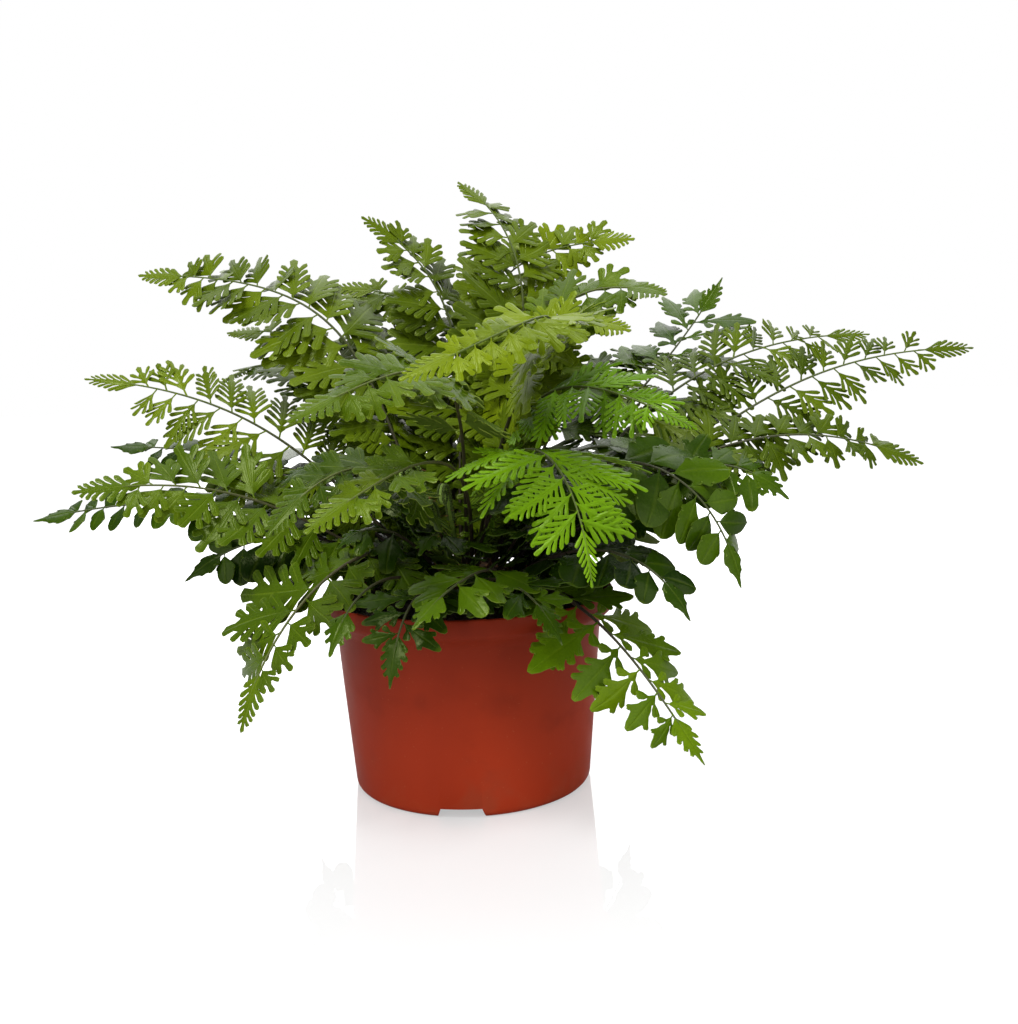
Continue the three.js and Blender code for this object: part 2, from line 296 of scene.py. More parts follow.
gloss = white.node("ShaderNodeFresnel", {}, {"IOR": FLOOR_IOR})
sweep = white.node("ShaderNodeMixShader", {}, {"Fac": gloss, "Shader": sweep, "Shader_001": mirror})
white.tree.links.new(sweep.socket, white.tree.nodes["Material Output"].inputs["Surface"])
floor.data.materials.append(white.material)
print("floor", floor.dimensions.x, "m across")

# %% [markdown]
# ## Working by hand
# Pieces are shaped in edit mode. These few helpers do what a hand on the mouse would: select by
# place, extrude, resize and turn about a chosen point, and leave edit mode again.


# %% Helpers for edit mode
def begin(piece):
    select_only(piece)
    bpy.ops.object.mode_set(mode="EDIT")


def finish_edit():
    bpy.ops.object.mode_set(mode="OBJECT")


def pick(piece, wanted, kind="verts"):
    """Selects the vertices, edges or faces that a test accepts, and nothing else."""
    modes = {"verts": "VERT", "edges": "EDGE", "faces": "FACE"}
    bpy.ops.mesh.select_mode(type=modes[kind])
    bpy.ops.mesh.select_all(action="DESELECT")
    shape = bmesh.from_edit_mesh(piece.data)
    for item in getattr(shape, kind):
        if wanted(item):
            item.select_set(True)
    shape.select_flush_mode()
    bmesh.update_edit_mesh(piece.data)


def picked(piece):
    return [v for v in bmesh.from_edit_mesh(piece.data).verts if v.select]


def middle_of(vertices):
    return sum((v.co for v in vertices), Vector()) / len(vertices)


def turn_picked(degrees, about, axis="Z"):
    """Counter-clockwise is positive. With no window the operator turns the other way."""
    bpy.ops.transform.rotate(value=-math.radians(degrees), orient_axis=axis, center_override=about)


def with_modifier(piece, kind, **settings):
    """Adds a modifier and applies it."""
    select_only(piece)
    modifier = piece.modifiers.new(kind.lower(), kind)
    for key, value in settings.items():
        setattr(modifier, key, value)
    bpy.ops.object.modifier_apply(modifier=modifier.name)


def join(pieces, name):
    select_only(*pieces)
    bpy.ops.object.join()
    pieces[0].name = name
    pieces[0].data.name = name
    return pieces[0]


def raise_rings(extrude, radius, height, rings):
    """Extrudes what is picked ring by ring. Each ring is a radius and a height on the axis."""
    for next_radius, next_height in rings:
        extrude(TRANSFORM_OT_translate={"value": (0, 0, next_height - height)})
        grow = next_radius / radius
        bpy.ops.transform.resize(value=(grow, grow, 1), center_override=(0, 0, next_height))
        radius, height = next_radius, next_height


print("edit mode helpers ready")


# %% Helpers for whole pieces
def copy_of(master, matrix=None):
    """A copy with its own mesh, and its place in that mesh."""
    piece = bpy.data.objects.new(master.name, master.data.copy())
    scene.collection.objects.link(piece)
    if matrix:
        piece.data.transform(matrix)
    return piece


def facing(direction, axis="Z", up="Y"):
    """The turn that points an axis in a direction."""
    return direction.to_track_quat(axis, up).to_matrix().to_4x4()


def throw_away(masters):
    for master in masters:
        bpy.data.objects.remove(master)


def hand_over(piece, node):
    """The finished piece stands for its solid in the frame."""
    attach(piece, "root")
    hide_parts(node)


print("piece helpers ready")

# %% [markdown]
# ## The pot
# A thin moulded pot: a foot ring with three notches, a tapering wall, a short chamfer and an
# upright collar. It could be turned from a profile with a screw modifier. Here a disc is extruded
# ring by ring, which keeps every height and radius in view.

# %% Pot sizes
pot_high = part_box("nursery_pot")[1]
RIM = pot_high.x
HEIGHT = pot_high.z
WALL = 1.1 * MM
FOOT = 48.9 * MM
FOOT_ROUND = 3.0 * MM
FLOOR_RISE = 3.9 * MM
COLLAR = 7.1 * MM
CHAMFER = 4.3 * MM
CHAMFER_RADIUS = 54.5 * MM
PAD = 12 * MM
POT_SEGMENTS, FOOT_STEPS = 144, 5
NOTCHES, NOTCH_AZIMUTH = 3, 263.7
NOTCH_TOP, NOTCH_FOOT, NOTCH_HEIGHT = 16 * MM, 21.4 * MM, 3.8 * MM
SLOTS, SLOT_AZIMUTH = 6, 30
SLOT_WIDTH, SLOT_IN, SLOT_OUT = 3.4 * MM, 24 * MM, 36 * MM
print("pot:", round(2 * RIM / MM), "mm across,", round(HEIGHT / MM), "mm high")


# %% The pot's rings
def pot_rings():
    """Radius and height of each ring, from under the floor, up the outside and down inside."""
    chamfer_top = HEIGHT - COLLAR
    chamfer_foot = chamfer_top - CHAMFER
    slope = (CHAMFER_RADIUS - FOOT) / (chamfer_foot - FOOT_ROUND)
    hollow = FOOT - 2 * FOOT_ROUND
    rings = [(PAD + FLOOR_RISE, FLOOR_RISE), (hollow, FLOOR_RISE), (hollow, 0)]
    for i in range(FOOT_STEPS + 1):
        a = i / FOOT_STEPS * math.pi / 2
        rings.append((FOOT - FOOT_ROUND * (1 - math.sin(a)), FOOT_ROUND * (1 - math.cos(a))))
    rings += [(FOOT + slope * (z - FOOT_ROUND), z) for z in (20 * MM, 45 * MM)]
    rings += [
        (CHAMFER_RADIUS - 0.3 * MM, chamfer_foot - 1.2 * MM),
        (CHAMFER_RADIUS + 0.2 * MM, chamfer_foot),
        (RIM - 1.2 * MM, chamfer_top - 0.8 * MM),
        (RIM - 0.2 * MM, chamfer_top + 0.2 * MM),
        (RIM, chamfer_top + 1.2 * MM),
        (RIM, HEIGHT - 1.3 * MM),
        (RIM - 0.3 * MM, HEIGHT - 0.4 * MM),
        (RIM - 0.9 * MM, HEIGHT),
        (RIM - 1.5 * MM, HEIGHT - 0.3 * MM),
        (RIM - 1.7 * MM, HEIGHT - 1.0 * MM),
        (RIM - WALL - 0.4 * MM, chamfer_top + 0.3 * MM),
        (CHAMFER_RADIUS - WALL, chamfer_foot + 0.3 * MM),
        (FOOT - WALL - 0.6 * MM, FLOOR_RISE + WALL + 2 * MM),
        (FOOT - WALL - 2.6 * MM, FLOOR_RISE + WALL),
        (PAD + 3 * MM, FLOOR_RISE + WALL),
        (PAD, WALL),
    ]
    return rings


print("pot:", len(pot_rings()), "rings")

# %% Raise the pot
select_only()
bpy.ops.mesh.primitive_circle_add(
    vertices=POT_SEGMENTS, radius=PAD, fill_type="NGON", location=(0, 0, 0)
)
pot = bpy.context.object
begin(pot)
pick(pot, lambda e: e.is_boundary, "edges")
raise_rings(bpy.ops.mesh.extrude_edges_move, PAD, 0.0, pot_rings())
bpy.ops.mesh.edge_face_add()
bpy.ops.mesh.select_all(action="SELECT")
bpy.ops.mesh.normals_make_consistent(inside=False)
finish_edit()
print("pot:", len(pot.data.polygons), "faces")


# %% Cut the notches and the drain slots
def cutter(size, centre, azimuth, narrow=1.0):
    """A block whose top is narrower than its foot, turned about the pot's axis."""
    select_only()
    bpy.ops.mesh.primitive_cube_add(size=1, location=(0, 0, 0))
    block = bpy.context.object
    begin(block)
    bpy.ops.transform.resize(value=size, center_override=(0, 0, 0))
    pick(block, lambda f: f.normal.z > 0.5, "faces")
    bpy.ops.transform.resize(value=(1, narrow, 1), center_override=(0, 0, 0))
    bpy.ops.mesh.select_all(action="SELECT")
    bpy.ops.transform.translate(value=centre)
    turn_picked(azimuth, (0, 0, 0))
    finish_edit()
    return block


blocks = [
    cutter(
        (14 * MM, NOTCH_FOOT, 2 * NOTCH_HEIGHT), (FOOT - FOOT_ROUND, 0, 0),
        NOTCH_AZIMUTH + i * 360 / NOTCHES, NOTCH_TOP / NOTCH_FOOT,
    )
    for i in range(NOTCHES)
]
blocks += [
    cutter(
        (SLOT_OUT - SLOT_IN, SLOT_WIDTH, 8 * MM), ((SLOT_IN + SLOT_OUT) / 2, 0, FLOOR_RISE),
        SLOT_AZIMUTH + i * 360 / SLOTS,
    )
    for i in range(SLOTS)
]
for block in blocks:
    with_modifier(pot, "BOOLEAN", object=block, operation="DIFFERENCE", solver="EXACT")
throw_away(blocks)
with_modifier(
    pot, "BEVEL", width=0.25 * MM, segments=2, limit_method="ANGLE", angle_limit=math.radians(42)
)
bpy.ops.object.shade_smooth_by_angle(angle=math.radians(35))
print("pot after cutting:", len(pot.data.polygons), "faces")

# %% [markdown]
# The plastic is terracotta coloured right through. It is half matt, with a faint flow of colour
# round the wall, painted shade that darkens the wall towards the rim as the leaves above would,
# pale dust and scuffs near the foot, and a very fine moulded grain.

# %% Terracotta plastic
plastic = Finish("terracotta_plastic", specular_ior_level=0.12)
flow = plastic.noise(14, 4, (1, 1, 0.35))
grain = plastic.noise(2600, 2)
smudge = plastic.noise(70, 5)
specks = plastic.rise(plastic.noise(900, 1), 0.735, 0.76)
height_mark = plastic.node("ShaderNodeSeparateXYZ", {}, {"Vector": plastic.place()}, out="Z")
low_down = 1 - plastic.rise(height_mark, 0.0, 0.03)
clay = plastic.blend(plastic.rise(flow, 0.3, 0.7), colour(150, 44, 17), colour(168, 52, 21))
# Painted shade: the wall is painted darker towards the rim, as the shade of the overhanging leaves.
clay = plastic.blend(plastic.rise(height_mark, 0.02, HEIGHT) * 0.6, clay, colour(112, 33, 14))
clay = plastic.blend(plastic.rise(smudge, 0.5, 0.75) * 0.3, clay, colour(112, 34, 16))
dust = (specks * 0.3) + (low_down * plastic.rise(smudge, 0.45, 0.7) * 0.22)
clay = plastic.blend(dust, clay, colour(176, 88, 58))
skin = plastic.bump(grain + smudge * 0.6, 0.05 * MM, 0.5)
pot.data.materials.append(plastic.use(base_color=clay, roughness=0.4 + smudge * 0.2, normal=skin))
pot.name = "pot_moulding"
hand_over(pot, "nursery_pot")
print("pot finished")

# %% [markdown]
# ## The compost
# Dark, damp peat fills the pot to just under the rim. One mass gives the level, with a surface that
# is inset ring by ring and then displaced. Loose crumbs and root fibres lie on it, and make the
# broken edge that a displaced surface alone would not have.

# %% Peat mass
SOIL_EDGE = 76.2 * MM
SOIL_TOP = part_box("potting_soil")[1].z
PEAT_FOOT = FOOT - WALL - 4 * MM
PEAT_RIM = RIM - WALL - 1.4 * MM
PEAT_SEGMENTS, PEAT_RINGS = 72, 13

select_only()
bpy.ops.mesh.primitive_cylinder_add(
    vertices=PEAT_SEGMENTS, radius=PEAT_FOOT, depth=2 * MM, location=(0, 0, 0)
)
peat = bpy.context.object
begin(peat)
bpy.ops.transform.translate(value=(0, 0, FLOOR_RISE + WALL + 1.5 * MM))
pick(peat, lambda f: f.normal.z > 0.5, "faces")
raise_rings(
    bpy.ops.mesh.extrude_region_move, PEAT_FOOT, FLOOR_RISE + WALL + 2.5 * MM,
    (
        (CHAMFER_RADIUS - WALL - 2 * MM, HEIGHT - COLLAR - CHAMFER - 1 * MM),
        (PEAT_RIM, HEIGHT - COLLAR + 1 * MM),
        (PEAT_RIM, SOIL_EDGE),
    ),
)
for _ in range(PEAT_RINGS):
    bpy.ops.mesh.inset(thickness=(RIM - 4 * MM) / (PEAT_RINGS + 1))
    bpy.ops.transform.translate(value=(0, 0, (SOIL_TOP - SOIL_EDGE) / PEAT_RINGS))
bpy.ops.mesh.poke()
finish_edit()
surface = peat.vertex_groups.new(name="surface")
surface.add([v.index for v in peat.data.vertices if v.co.z > SOIL_EDGE - 0.1 * MM], 1.0, "REPLACE")
lumps = bpy.data.textures.new("peat_lumps", "CLOUDS")
lumps.noise_scale = 6 * MM
lumps.noise_depth = 3
with_modifier(
    peat, "DISPLACE", texture=lumps, texture_coords="LOCAL", vertex_group="surface",
    direction="Z", strength=5 * MM, mid_level=0.7,
)
print("peat mass:", len(peat.data.polygons), "faces")


# %% One crumb and one fibre
chance = random.Random(11)


def peat_level(r):
    """The height of the compost at a distance from the middle."""
    share = min(1, max(0, (RIM - WALL - r) / (RIM - WALL)))
    return SOIL_EDGE + (SOIL_TOP - SOIL_EDGE) * share - 1.0 * MM


def ball_master(drawn_out):
    """A little ball, drawn out on one side. It is left in edit mode for more shaping."""
    select_only()
    bpy.ops.mesh.primitive_ico_sphere_add(subdivisions=1, radius=1 * MM, location=(0, 0, 0))
    ball = bpy.context.object
    begin(ball)
    pick(ball, lambda v: v.co.x > 0.3 * MM)
    bpy.ops.transform.resize(value=drawn_out, center_override=(0, 0, 0))
    return ball


def crumb_master():
    crumb = ball_master((1.3, 0.6, 0.8))
    pick(crumb, lambda v: v.co.z < -0.5 * MM)
    bpy.ops.transform.translate(value=(-0.2 * MM, 0.3 * MM, 0.2 * MM))
    finish_edit()
    return crumb


def fibre_master():
    """A thin root: a three sided rod, extruded along a bent line."""
    select_only()
    bpy.ops.mesh.primitive_circle_add(
        vertices=3, radius=0.16 * MM, fill_type="NGON", location=(0, 0, 0)
    )
    root = bpy.context.object
    begin(root)
    pick(root, lambda f: True, "faces")
    for step in ((0.3, 0, 2.2), (0.9, 0.3, 2.0), (1.3, 0.2, 1.6), (1.4, -0.4, 1.3)):
        bpy.ops.mesh.extrude_region_move(TRANSFORM_OT_translate={"value": [s * MM for s in step]})
        bpy.ops.transform.resize(value=(0.8, 0.8, 0.8), center_override=middle_of(picked(root)))
    bpy.ops.mesh.select_all(action="SELECT")
    bpy.ops.mesh.normals_make_consistent(inside=False)
    finish_edit()
    return root


crumb, fibre = crumb_master(), fibre_master()
print("crumb:", len(crumb.data.polygons), "faces, fibre:", len(fibre.data.polygons), "faces")


# %% Crumbs and fibres
CRUMBS, FIBRES = 620, 90
CRUMB_SIZES = (0.5, 0.7, 0.8, 1.0, 1.3, 1.8)
CROWN_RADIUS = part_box("crown")[1].x


def turned_by(angle, tip):
    return Matrix.Rotation(angle, 4, "Z") @ Matrix.Rotation(tip, 4, "X")


def spot_on_peat(inner, outer):
    """A place on the compost, between two distances from the middle."""
    r = math.sqrt(chance.uniform(inner**2, outer**2))
    a = chance.uniform(0, 2 * math.pi)
    return r * math.cos(a), r * math.sin(a), peat_level(r)


litter = [peat]
for _ in range(CRUMBS):
    x, y, level = spot_on_peat(CROWN_RADIUS * 0.9, RIM - WALL - 3 * MM)
    size = chance.choice(CRUMB_SIZES)
    spot = Matrix.Translation((x, y, level + 0.2 * MM * size))
    scale = (size * chance.uniform(0.8, 1.5), size, size * chance.uniform(0.6, 1), 1)
    turn = turned_by(chance.uniform(0, 2 * math.pi), chance.uniform(0, 2 * math.pi))
    litter.append(copy_of(crumb, spot @ turn @ Matrix.Diagonal(scale)))
for _ in range(FIBRES):
    x, y, level = spot_on_peat(CROWN_RADIUS, RIM - WALL - 8 * MM)
    lying = turned_by(chance.uniform(0, 6.3), chance.uniform(1.3, 1.75))
    litter.append(copy_of(fibre, Matrix.Translation((x, y, level + 0.4 * MM)) @ lying))
throw_away([crumb, fibre])
print("litter:", len(litter), "bits")

# %% Peat finish
earth = Finish("damp_peat", specular_ior_level=0.35)
clods = earth.noise(420, 6)
fine_dirt = earth.noise(2400, 3)
brown = earth.ramp(
    clods * 0.7 + fine_dirt * 0.3,
    [
        (0.3, colour(16, 11, 8)), (0.5, colour(34, 23, 16)),
        (0.62, colour(58, 39, 25)), (0.75, colour(92, 66, 42)),
    ],
)
rough_ground = earth.bump(clods + fine_dirt * 0.5, 1.2 * MM)
damp_peat = earth.use(base_color=brown, roughness=0.72 + fine_dirt * 0.25, normal=rough_ground)
for bit in litter:
    bit.data.materials.append(damp_peat)
compost = join(litter, "peat_compost")
hand_over(compost, "potting_soil")
print("compost:", len(compost.data.polygons), "faces")

# %% [markdown]
# ## The crown
# The stalks rise from a low woody crown, covered with the brown scales and broken stalk bases of
# earlier fronds. A flattened ball gives the mass, and one tapering scale is copied all over it.

# %% Crown
CROWN_BASE = SOIL_TOP
CROWN_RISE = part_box("crown")[1].z - CROWN_BASE
CROWN_SCALES = 260

select_only()
bpy.ops.mesh.primitive_uv_sphere_add(segments=48, ring_count=24, radius=1, location=(0, 0, 0))
crown = bpy.context.object
begin(crown)
pick(crown, lambda v: v.co.z < -0.2)
bpy.ops.mesh.delete(type="VERT")
pick(crown, lambda e: e.is_boundary, "edges")
bpy.ops.mesh.edge_face_add()
bpy.ops.mesh.select_all(action="SELECT")
bpy.ops.transform.resize(
    value=(CROWN_RADIUS * 0.97, CROWN_RADIUS * 0.97, CROWN_RISE * 0.96), center_override=(0, 0, 0)
)
bpy.ops.transform.translate(value=(0, 0, CROWN_BASE))
finish_edit()
knots = bpy.data.textures.new("crown_knots", "CLOUDS")
knots.noise_scale = 5 * MM
with_modifier(
    crown, "DISPLACE", texture=knots, texture_coords="LOCAL", strength=2.4 * MM, mid_level=0.7
)
print("crown:", len(crown.data.polygons), "faces")


# %% Scales on the crown
def scale_master():
    """A papery scale: a small pyramid, bent over at its tip."""
    select_only()
    bpy.ops.mesh.primitive_cone_add(
        vertices=5, radius1=0.9 * MM, depth=5 * MM, location=(0, 0, 2.2 * MM)
    )
    papery = bpy.context.object
    bpy.ops.object.transform_apply(location=True)
    begin(papery)
    bpy.ops.mesh.subdivide(number_cuts=1)
    pick(papery, lambda v: v.co.z > 1.5 * MM)
    turn_picked(18, (0, 0, 1.5 * MM), "X")
    bpy.ops.mesh.select_all(action="SELECT")
    bpy.ops.transform.resize(value=(1.2, 0.55, 1), center_override=(0, 0, 0))
    finish_edit()
    return papery


papery = scale_master()
scales = [crown]
for _ in range(CROWN_SCALES):
    a = chance.uniform(0, 2 * math.pi)
    lift = math.asin(chance.uniform(0.02, 0.98))
    away = Vector((math.cos(lift) * math.cos(a), math.cos(lift) * math.sin(a), math.sin(lift)))
    foot = Vector((away.x * CROWN_RADIUS, away.y * CROWN_RADIUS, away.z * CROWN_RISE)) * 0.93
    foot.z += CROWN_BASE
    lean = facing((away + Vector((0, 0, 0.7))).normalized())
    size = chance.uniform(0.5, 1.0)
    spin = Matrix.Rotation(chance.uniform(0, 2 * math.pi), 4, "Z")
    scales.append(copy_of(papery, Matrix.Translation(foot) @ lean @ spin @ Matrix.Scale(size, 4)))
throw_away([papery])
print("crown:", len(scales) - 1, "scales")

# %% Crown finish
bark = Finish("scaly_crown", specular_ior_level=0.3)
fibres = bark.noise(800, 5, (1, 1, 0.3))
browns = [(0.3, colour(24, 16, 10)), (0.52, colour(62, 42, 24)), (0.72, colour(112, 80, 46))]
tone = bark.ramp(fibres, browns)
scaly = bark.use(base_color=tone, roughness=0.7 + fibres * 0.25, normal=bark.bump(fibres, 0.4 * MM))
for piece in scales:
    piece.data.materials.append(scaly)
crown = join(scales, "scaly_rhizome")
bpy.ops.object.shade_smooth_by_angle(angle=math.radians(40))
hand_over(crown, "crown")
print("crown:", len(crown.data.polygons), "faces")

# %% [markdown]
# ## Reading a frond's line
# Each frond's solid is a chain of rings that ends in a point. Merging its loose triangles and
# walking out from that point gives the rings back, and with them the midrib, how the blade is
# rolled, and how wide it is at each place. The leaflets then grow exactly where the solid is.


# %% Rings of a solid
def rings_of(node, sides):
    """The rings of a solid's chain, from its foot to its tip, and the tip itself."""
    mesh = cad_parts[node].data
    shape = bmesh.new()
    shape.from_mesh(mesh)
    bmesh.ops.remove_doubles(shape, verts=shape.verts, dist=0.02 * MM)
    around_tip = lambda v: [len(e.other_vert(v).link_edges) for e in v.link_edges]
    tip = next(v for v in shape.verts if around_tip(v) == [5] * sides)
    seen, ring, rings = {tip}, [tip], []
    while True:
        ring = list({e.other_vert(v) for v in ring for e in v.link_edges} - seen)
        if len(ring) < sides:
            break
        seen.update(ring)
        order = [ring[0]]
        while len(order) < sides:
            following = [e.other_vert(order[-1]) for e in order[-1].link_edges]
            following = [v for v in following if v in ring and v not in order]
            if not following:  # at the flat foot a diagonal can lead astray; its order isn't needed
                order = ring
                break
            order.append(following[0])
        rings.append([v.co.copy() for v in order])
    end = tip.co.copy()
    shape.free()
    return rings[::-1], end


trial, end = rings_of("frond_fine_01", 4)
print("frond_fine_01:", len(trial), "rings, tip", [round(v, 3) for v in end])


# %% A smooth line
def smooth_line(points, count):
    """Evenly spaced points on a smooth curve through the given ones."""
    given = np.array(points, float)
    run = np.concatenate([[0], np.cumsum(np.linalg.norm(np.diff(given, axis=0), axis=1))])
    slope = np.gradient(given, run, axis=0)
    where = np.linspace(0, run[-1], count)
    k = np.clip(np.searchsorted(run, where, side="right") - 1, 0, len(run) - 2)
    span = (run[k + 1] - run[k])[:, None]
    t = (where - run[k])[:, None] / span
    return (
        (2 * t**3 - 3 * t**2 + 1) * given[k] + (t**3 - 2 * t**2 + t) * span * slope[k]
        + (3 * t**2 - 2 * t**3) * given[k + 1] + (t**3 - t**2) * span * slope[k + 1]
    )


def unit(v):
    return v / np.linalg.norm(v, axis=-1, keepdims=True)


print("a line through three points:", smooth_line([(0, 0), (1, 1), (2, 0)], 5).round(2).tolist())


# %% The midrib of a frond
class Midrib:
    """The line of a frond, with the blade's upper side and half width all along it.

    A ring whose short diagonal is at most BLADE_THICK belongs to the blade, others to the stalk.
    """

    STEPS = 160
    BLADE_THICK = 1.4 * MM

    def __init__(self, node):
        rings, tip = rings_of(node, 4)
        centres, uppers, widths, where = [], [], [], []
        for i, ring in enumerate(rings):
            pairs = [(np.array(ring[k]), np.array(ring[k + 2])) for k in (0, 1)]
            pairs.sort(key=lambda p: np.linalg.norm(p[0] - p[1]))
            (top, bottom), wide = pairs
            if np.linalg.norm(top - bottom) > self.BLADE_THICK:
                centres.append(sum(np.array(v) for v in ring) / 4)
                continue
            centre = (top + bottom) / 2
            centres.append(centre)
            where.append(i)
            uppers.append(unit(top - bottom))
            widths.append(max(np.linalg.norm(v - centre) for v in wide))
        for i in range(len(uppers) - 2, -1, -1):
            uppers[i] = uppers[i] if uppers[i] @ uppers[i + 1] > 0 else -uppers[i]
        if sum(u[2] for u in uppers) < 0:
            uppers = [-u for u in uppers]
        centres.append(np.array(tip))
        run = np.concatenate([[0], np.cumsum(np.linalg.norm(np.diff(centres, axis=0), axis=1))])
        self.length = run[-1]
        self.blade_from = run[where[0]]
        self.points = smooth_line(centres, self.STEPS)
        self.forward = unit(np.gradient(self.points, axis=0))
        self.run = np.linspace(0, self.length, self.STEPS)
        mixed = [np.interp(self.run, run[where], [u[axis] for u in uppers]) for axis in range(3)]
        upper = np.stack(mixed, axis=1)
        upper -= (upper * self.forward).sum(1, keepdims=True) * self.forward
        self.upper = unit(upper)
        self.side = np.cross(self.forward, self.upper)
        self.half = np.interp(self.run, np.append(run[where], self.length), np.append(widths, 0))

    def at(self, distance):
        """What is there: point, forward, side and upper directions, and the blade's half width."""
        k = distance / self.length * (self.STEPS - 1)
        i = min(int(k), self.STEPS - 2)
        t = k - i
        measures = (self.points, self.forward, self.side, self.upper, self.half)
        return [m[i] * (1 - t) + m[i + 1] * t for m in measures]


midribs = {n: Midrib(n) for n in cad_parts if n.startswith("frond")}
longest = max(line.length for line in midribs.values())
print("midribs:", len(midribs), "longest", round(longest / MM), "mm")

# %% [markdown]
# ## Leaflets
# The fern bears three kinds of frond. New ones are cut into narrow lobes, middle-aged ones have
# spoon shaped lobes, and old ones have broad leaflets with a toothed end. Their leaflets come in
# seven shapes, each in a few sizes and versions. Each is modelled flat: a strip for its middle, and
# each lobe extruded from the strip's edge. Then the middle of each lobe is lifted, and a Solidify
# modifier gives the thickness of a leathery leaf.

# %% Leaflet shapes
LEAF_THICK = 0.3 * MM
DOME = 0.34 * MM
STALKLET_HALF = 0.32 * MM
MAP_SIZE = 40 * MM
# Sizes are in millimetres. Pitch is from one lobe to the next, and the strip is the half width of
# the leaflet's middle, from its foot to its end. Lean is a lobe's angle to the middle, at the
# leaflet's end. A row of a lobe is its distance and width, as shares of the lobe's length and
# greatest width. Tip_room is the least width of the end lobe, as a share of the strip's half width.
# Made gives, for each size, the lobes a side and how many versions there are. A frond's cut end has
# end_pairs of lobes, and reaches end_reach back from its tip. Spacing is from one leaflet to the
# next on the same side. Longer is a leaflet's length as a share of the blade's half width there,
# and shortest is its least length.
KINDS = {
    "feather": {
        "pitch": 3.3, "strip": (0.45, 0.7, 0.8, 0.75, 0.7), "stalklet": 1.6,
        "lobe": 7.4, "lean": 30, "wide": 1.8, "tip": 5.2, "tip_room": 1.7,
        "rows": [(0.2, 0.7), (0.6, 0.95), (0.9, 0.92), (1.0, 0.5)], "end": 0.12,
        "made": [(8, 2), (5, 2), (3, 1)], "end_pairs": 7, "end_reach": 20,
        "spacing": 8.8, "longer": 1.14, "shortest": 9,
    },
    "fine": {
        "pitch": 3.6, "strip": (0.35, 0.5, 0.8, 1.2, 1.5), "stalklet": 3.0,
        "lobe": 8.2, "lean": 31, "wide": 2.05, "tip": 5.6, "tip_room": 1.7,
        "rows": [(0.22, 0.6), (0.62, 0.92), (0.9, 0.95), (1.0, 0.5)], "end": 0.14,
        "made": [(5, 3), (3, 2), (2, 1)], "end_pairs": 6, "end_reach": 22,
        "spacing": 11.0, "longer": 1.1, "shortest": 10,
    },
    "full": {
        "pitch": 4.3, "strip": (0.4, 1.1, 1.8, 2.2, 2.2), "stalklet": 2.2,
        "lobe": 8.4, "lean": 38, "wide": 3.0, "tip": 6.0, "tip_room": 1.7,
        "rows": [(0.25, 0.8), (0.6, 0.94), (0.88, 1.0), (1.0, 0.55)], "end": 0.1,
        "made": [(4, 3), (3, 2), (2, 1)], "end_pairs": 6, "end_reach": 20,
        "spacing": 9.4, "longer": 1.1, "shortest": 9.5,
    },
    "lobed": {
        "pitch": 5.0, "strip": (0.5, 1.2, 2.0, 2.4, 2.4), "stalklet": 2.6,
        "lobe": 9.2, "lean": 42, "wide": 3.75, "tip": 6.6, "tip_room": 1.7,
        "rows": [(0.25, 0.78), (0.6, 0.94), (0.86, 1.0), (1.0, 0.56)], "end": 0.1,
        "made": [(4, 3), (3, 2), (2, 1)], "end_pairs": 6, "end_reach": 22,
        "spacing": 11.4, "longer": 1.0, "shortest": 11,
    },
    "broad": {
        "pitch": 5.0, "strip": (0.4, 2.4, 4.2, 4.6, 3.8), "stalklet": 2.4,
        "lobe": 5.6, "lean": 38, "wide": 3.7, "tip": 7.4, "tip_room": 2.0,
        "rows": [(0.35, 0.84), (0.75, 0.96), (1.0, 0.6)], "end": 0.04,
        "tip_rows": [(0.4, 0.9), (0.78, 0.8), (1.0, 0.45)],
        "made": [(4, 3), (3, 3), (2, 1)], "end_pairs": 3, "end_reach": 19,
        "spacing": 12.4, "longer": 1.24, "shortest": 12,
    },
    "toothed": {
        "pitch": 4.4, "strip": (0.4, 0.8, 2.6, 3.5, 3.2), "stalklet": 2.0,
        "lobe": 5.0, "lean": 40, "wide": 3.1, "tip": 6.4, "tip_room": 2.0,
        "rows": [(0.45, 0.96), (0.8, 0.94), (1.0, 0.52)], "end": 0.08,
        "tip_rows": [(0.35, 0.78), (0.7, 0.62), (1.0, 0.26)],
        "made": [(5, 3), (4, 2), (3, 1)], "end_pairs": 4, "end_reach": 20,
        "spacing": 12.4, "longer": 1.36, "shortest": 13,
    },
    "oval": {
        "pitch": 4.6, "strip": (0.4, 3.0, 5.0, 5.8, 5.6), "stalklet": 2.0,
        "lobe": 1.3, "lean": 16, "wide": 3.6, "tip": 7.0, "tip_room": 2.0,
        "rows": [(0.55, 0.8), (1.0, 0.4)], "end": 0.1,
        "tip_rows": [(0.32, 0.94), (0.66, 0.76), (0.9, 0.48), (1.0, 0.26)],
        "made": [(3, 3), (2, 2)], "end_pairs": 3, "end_reach": 18,
        "spacing": 10.6, "longer": 1.2, "shortest": 11,
    },
}
# The small, nearly separate lobe at the foot of a broad leaflet, and that of a toothed one.
FOOT_ROWS = [(0.2, 0.3), (0.5, 0.8), (0.85, 1.0), (1.0, 0.56)]
BROAD_FOOT = {"lobe": 8.4, "lean": 58, "wide": 4.4}
TOOTHED_FOOT = {"lobe": 6.2, "lean": 50, "wide": 3.6}
print("leaflet shapes:", list(KINDS))


# %% Grow a lobe
SAME_PLACE = 0.001 * MM


def push(leaf, step, grow, turned=0.0):
    """Extrudes the picked edge, then narrows or widens it and turns it about its middle."""
    bpy.ops.mesh.extrude_region_move(TRANSFORM_OT_translate={"value": step})
    about = middle_of(picked(leaf))
    bpy.ops.transform.resize(value=(grow, grow, 1), center_override=about)
    if turned:
        turn_picked(turned, about)


def mark(leaf, layer, value, only=lambda v: True):
    shape = bmesh.from_edit_mesh(leaf.data)
    values = shape.verts.layers.float[layer]
    for v in shape.verts:
        if v.select and only(v):
            v[values] = value


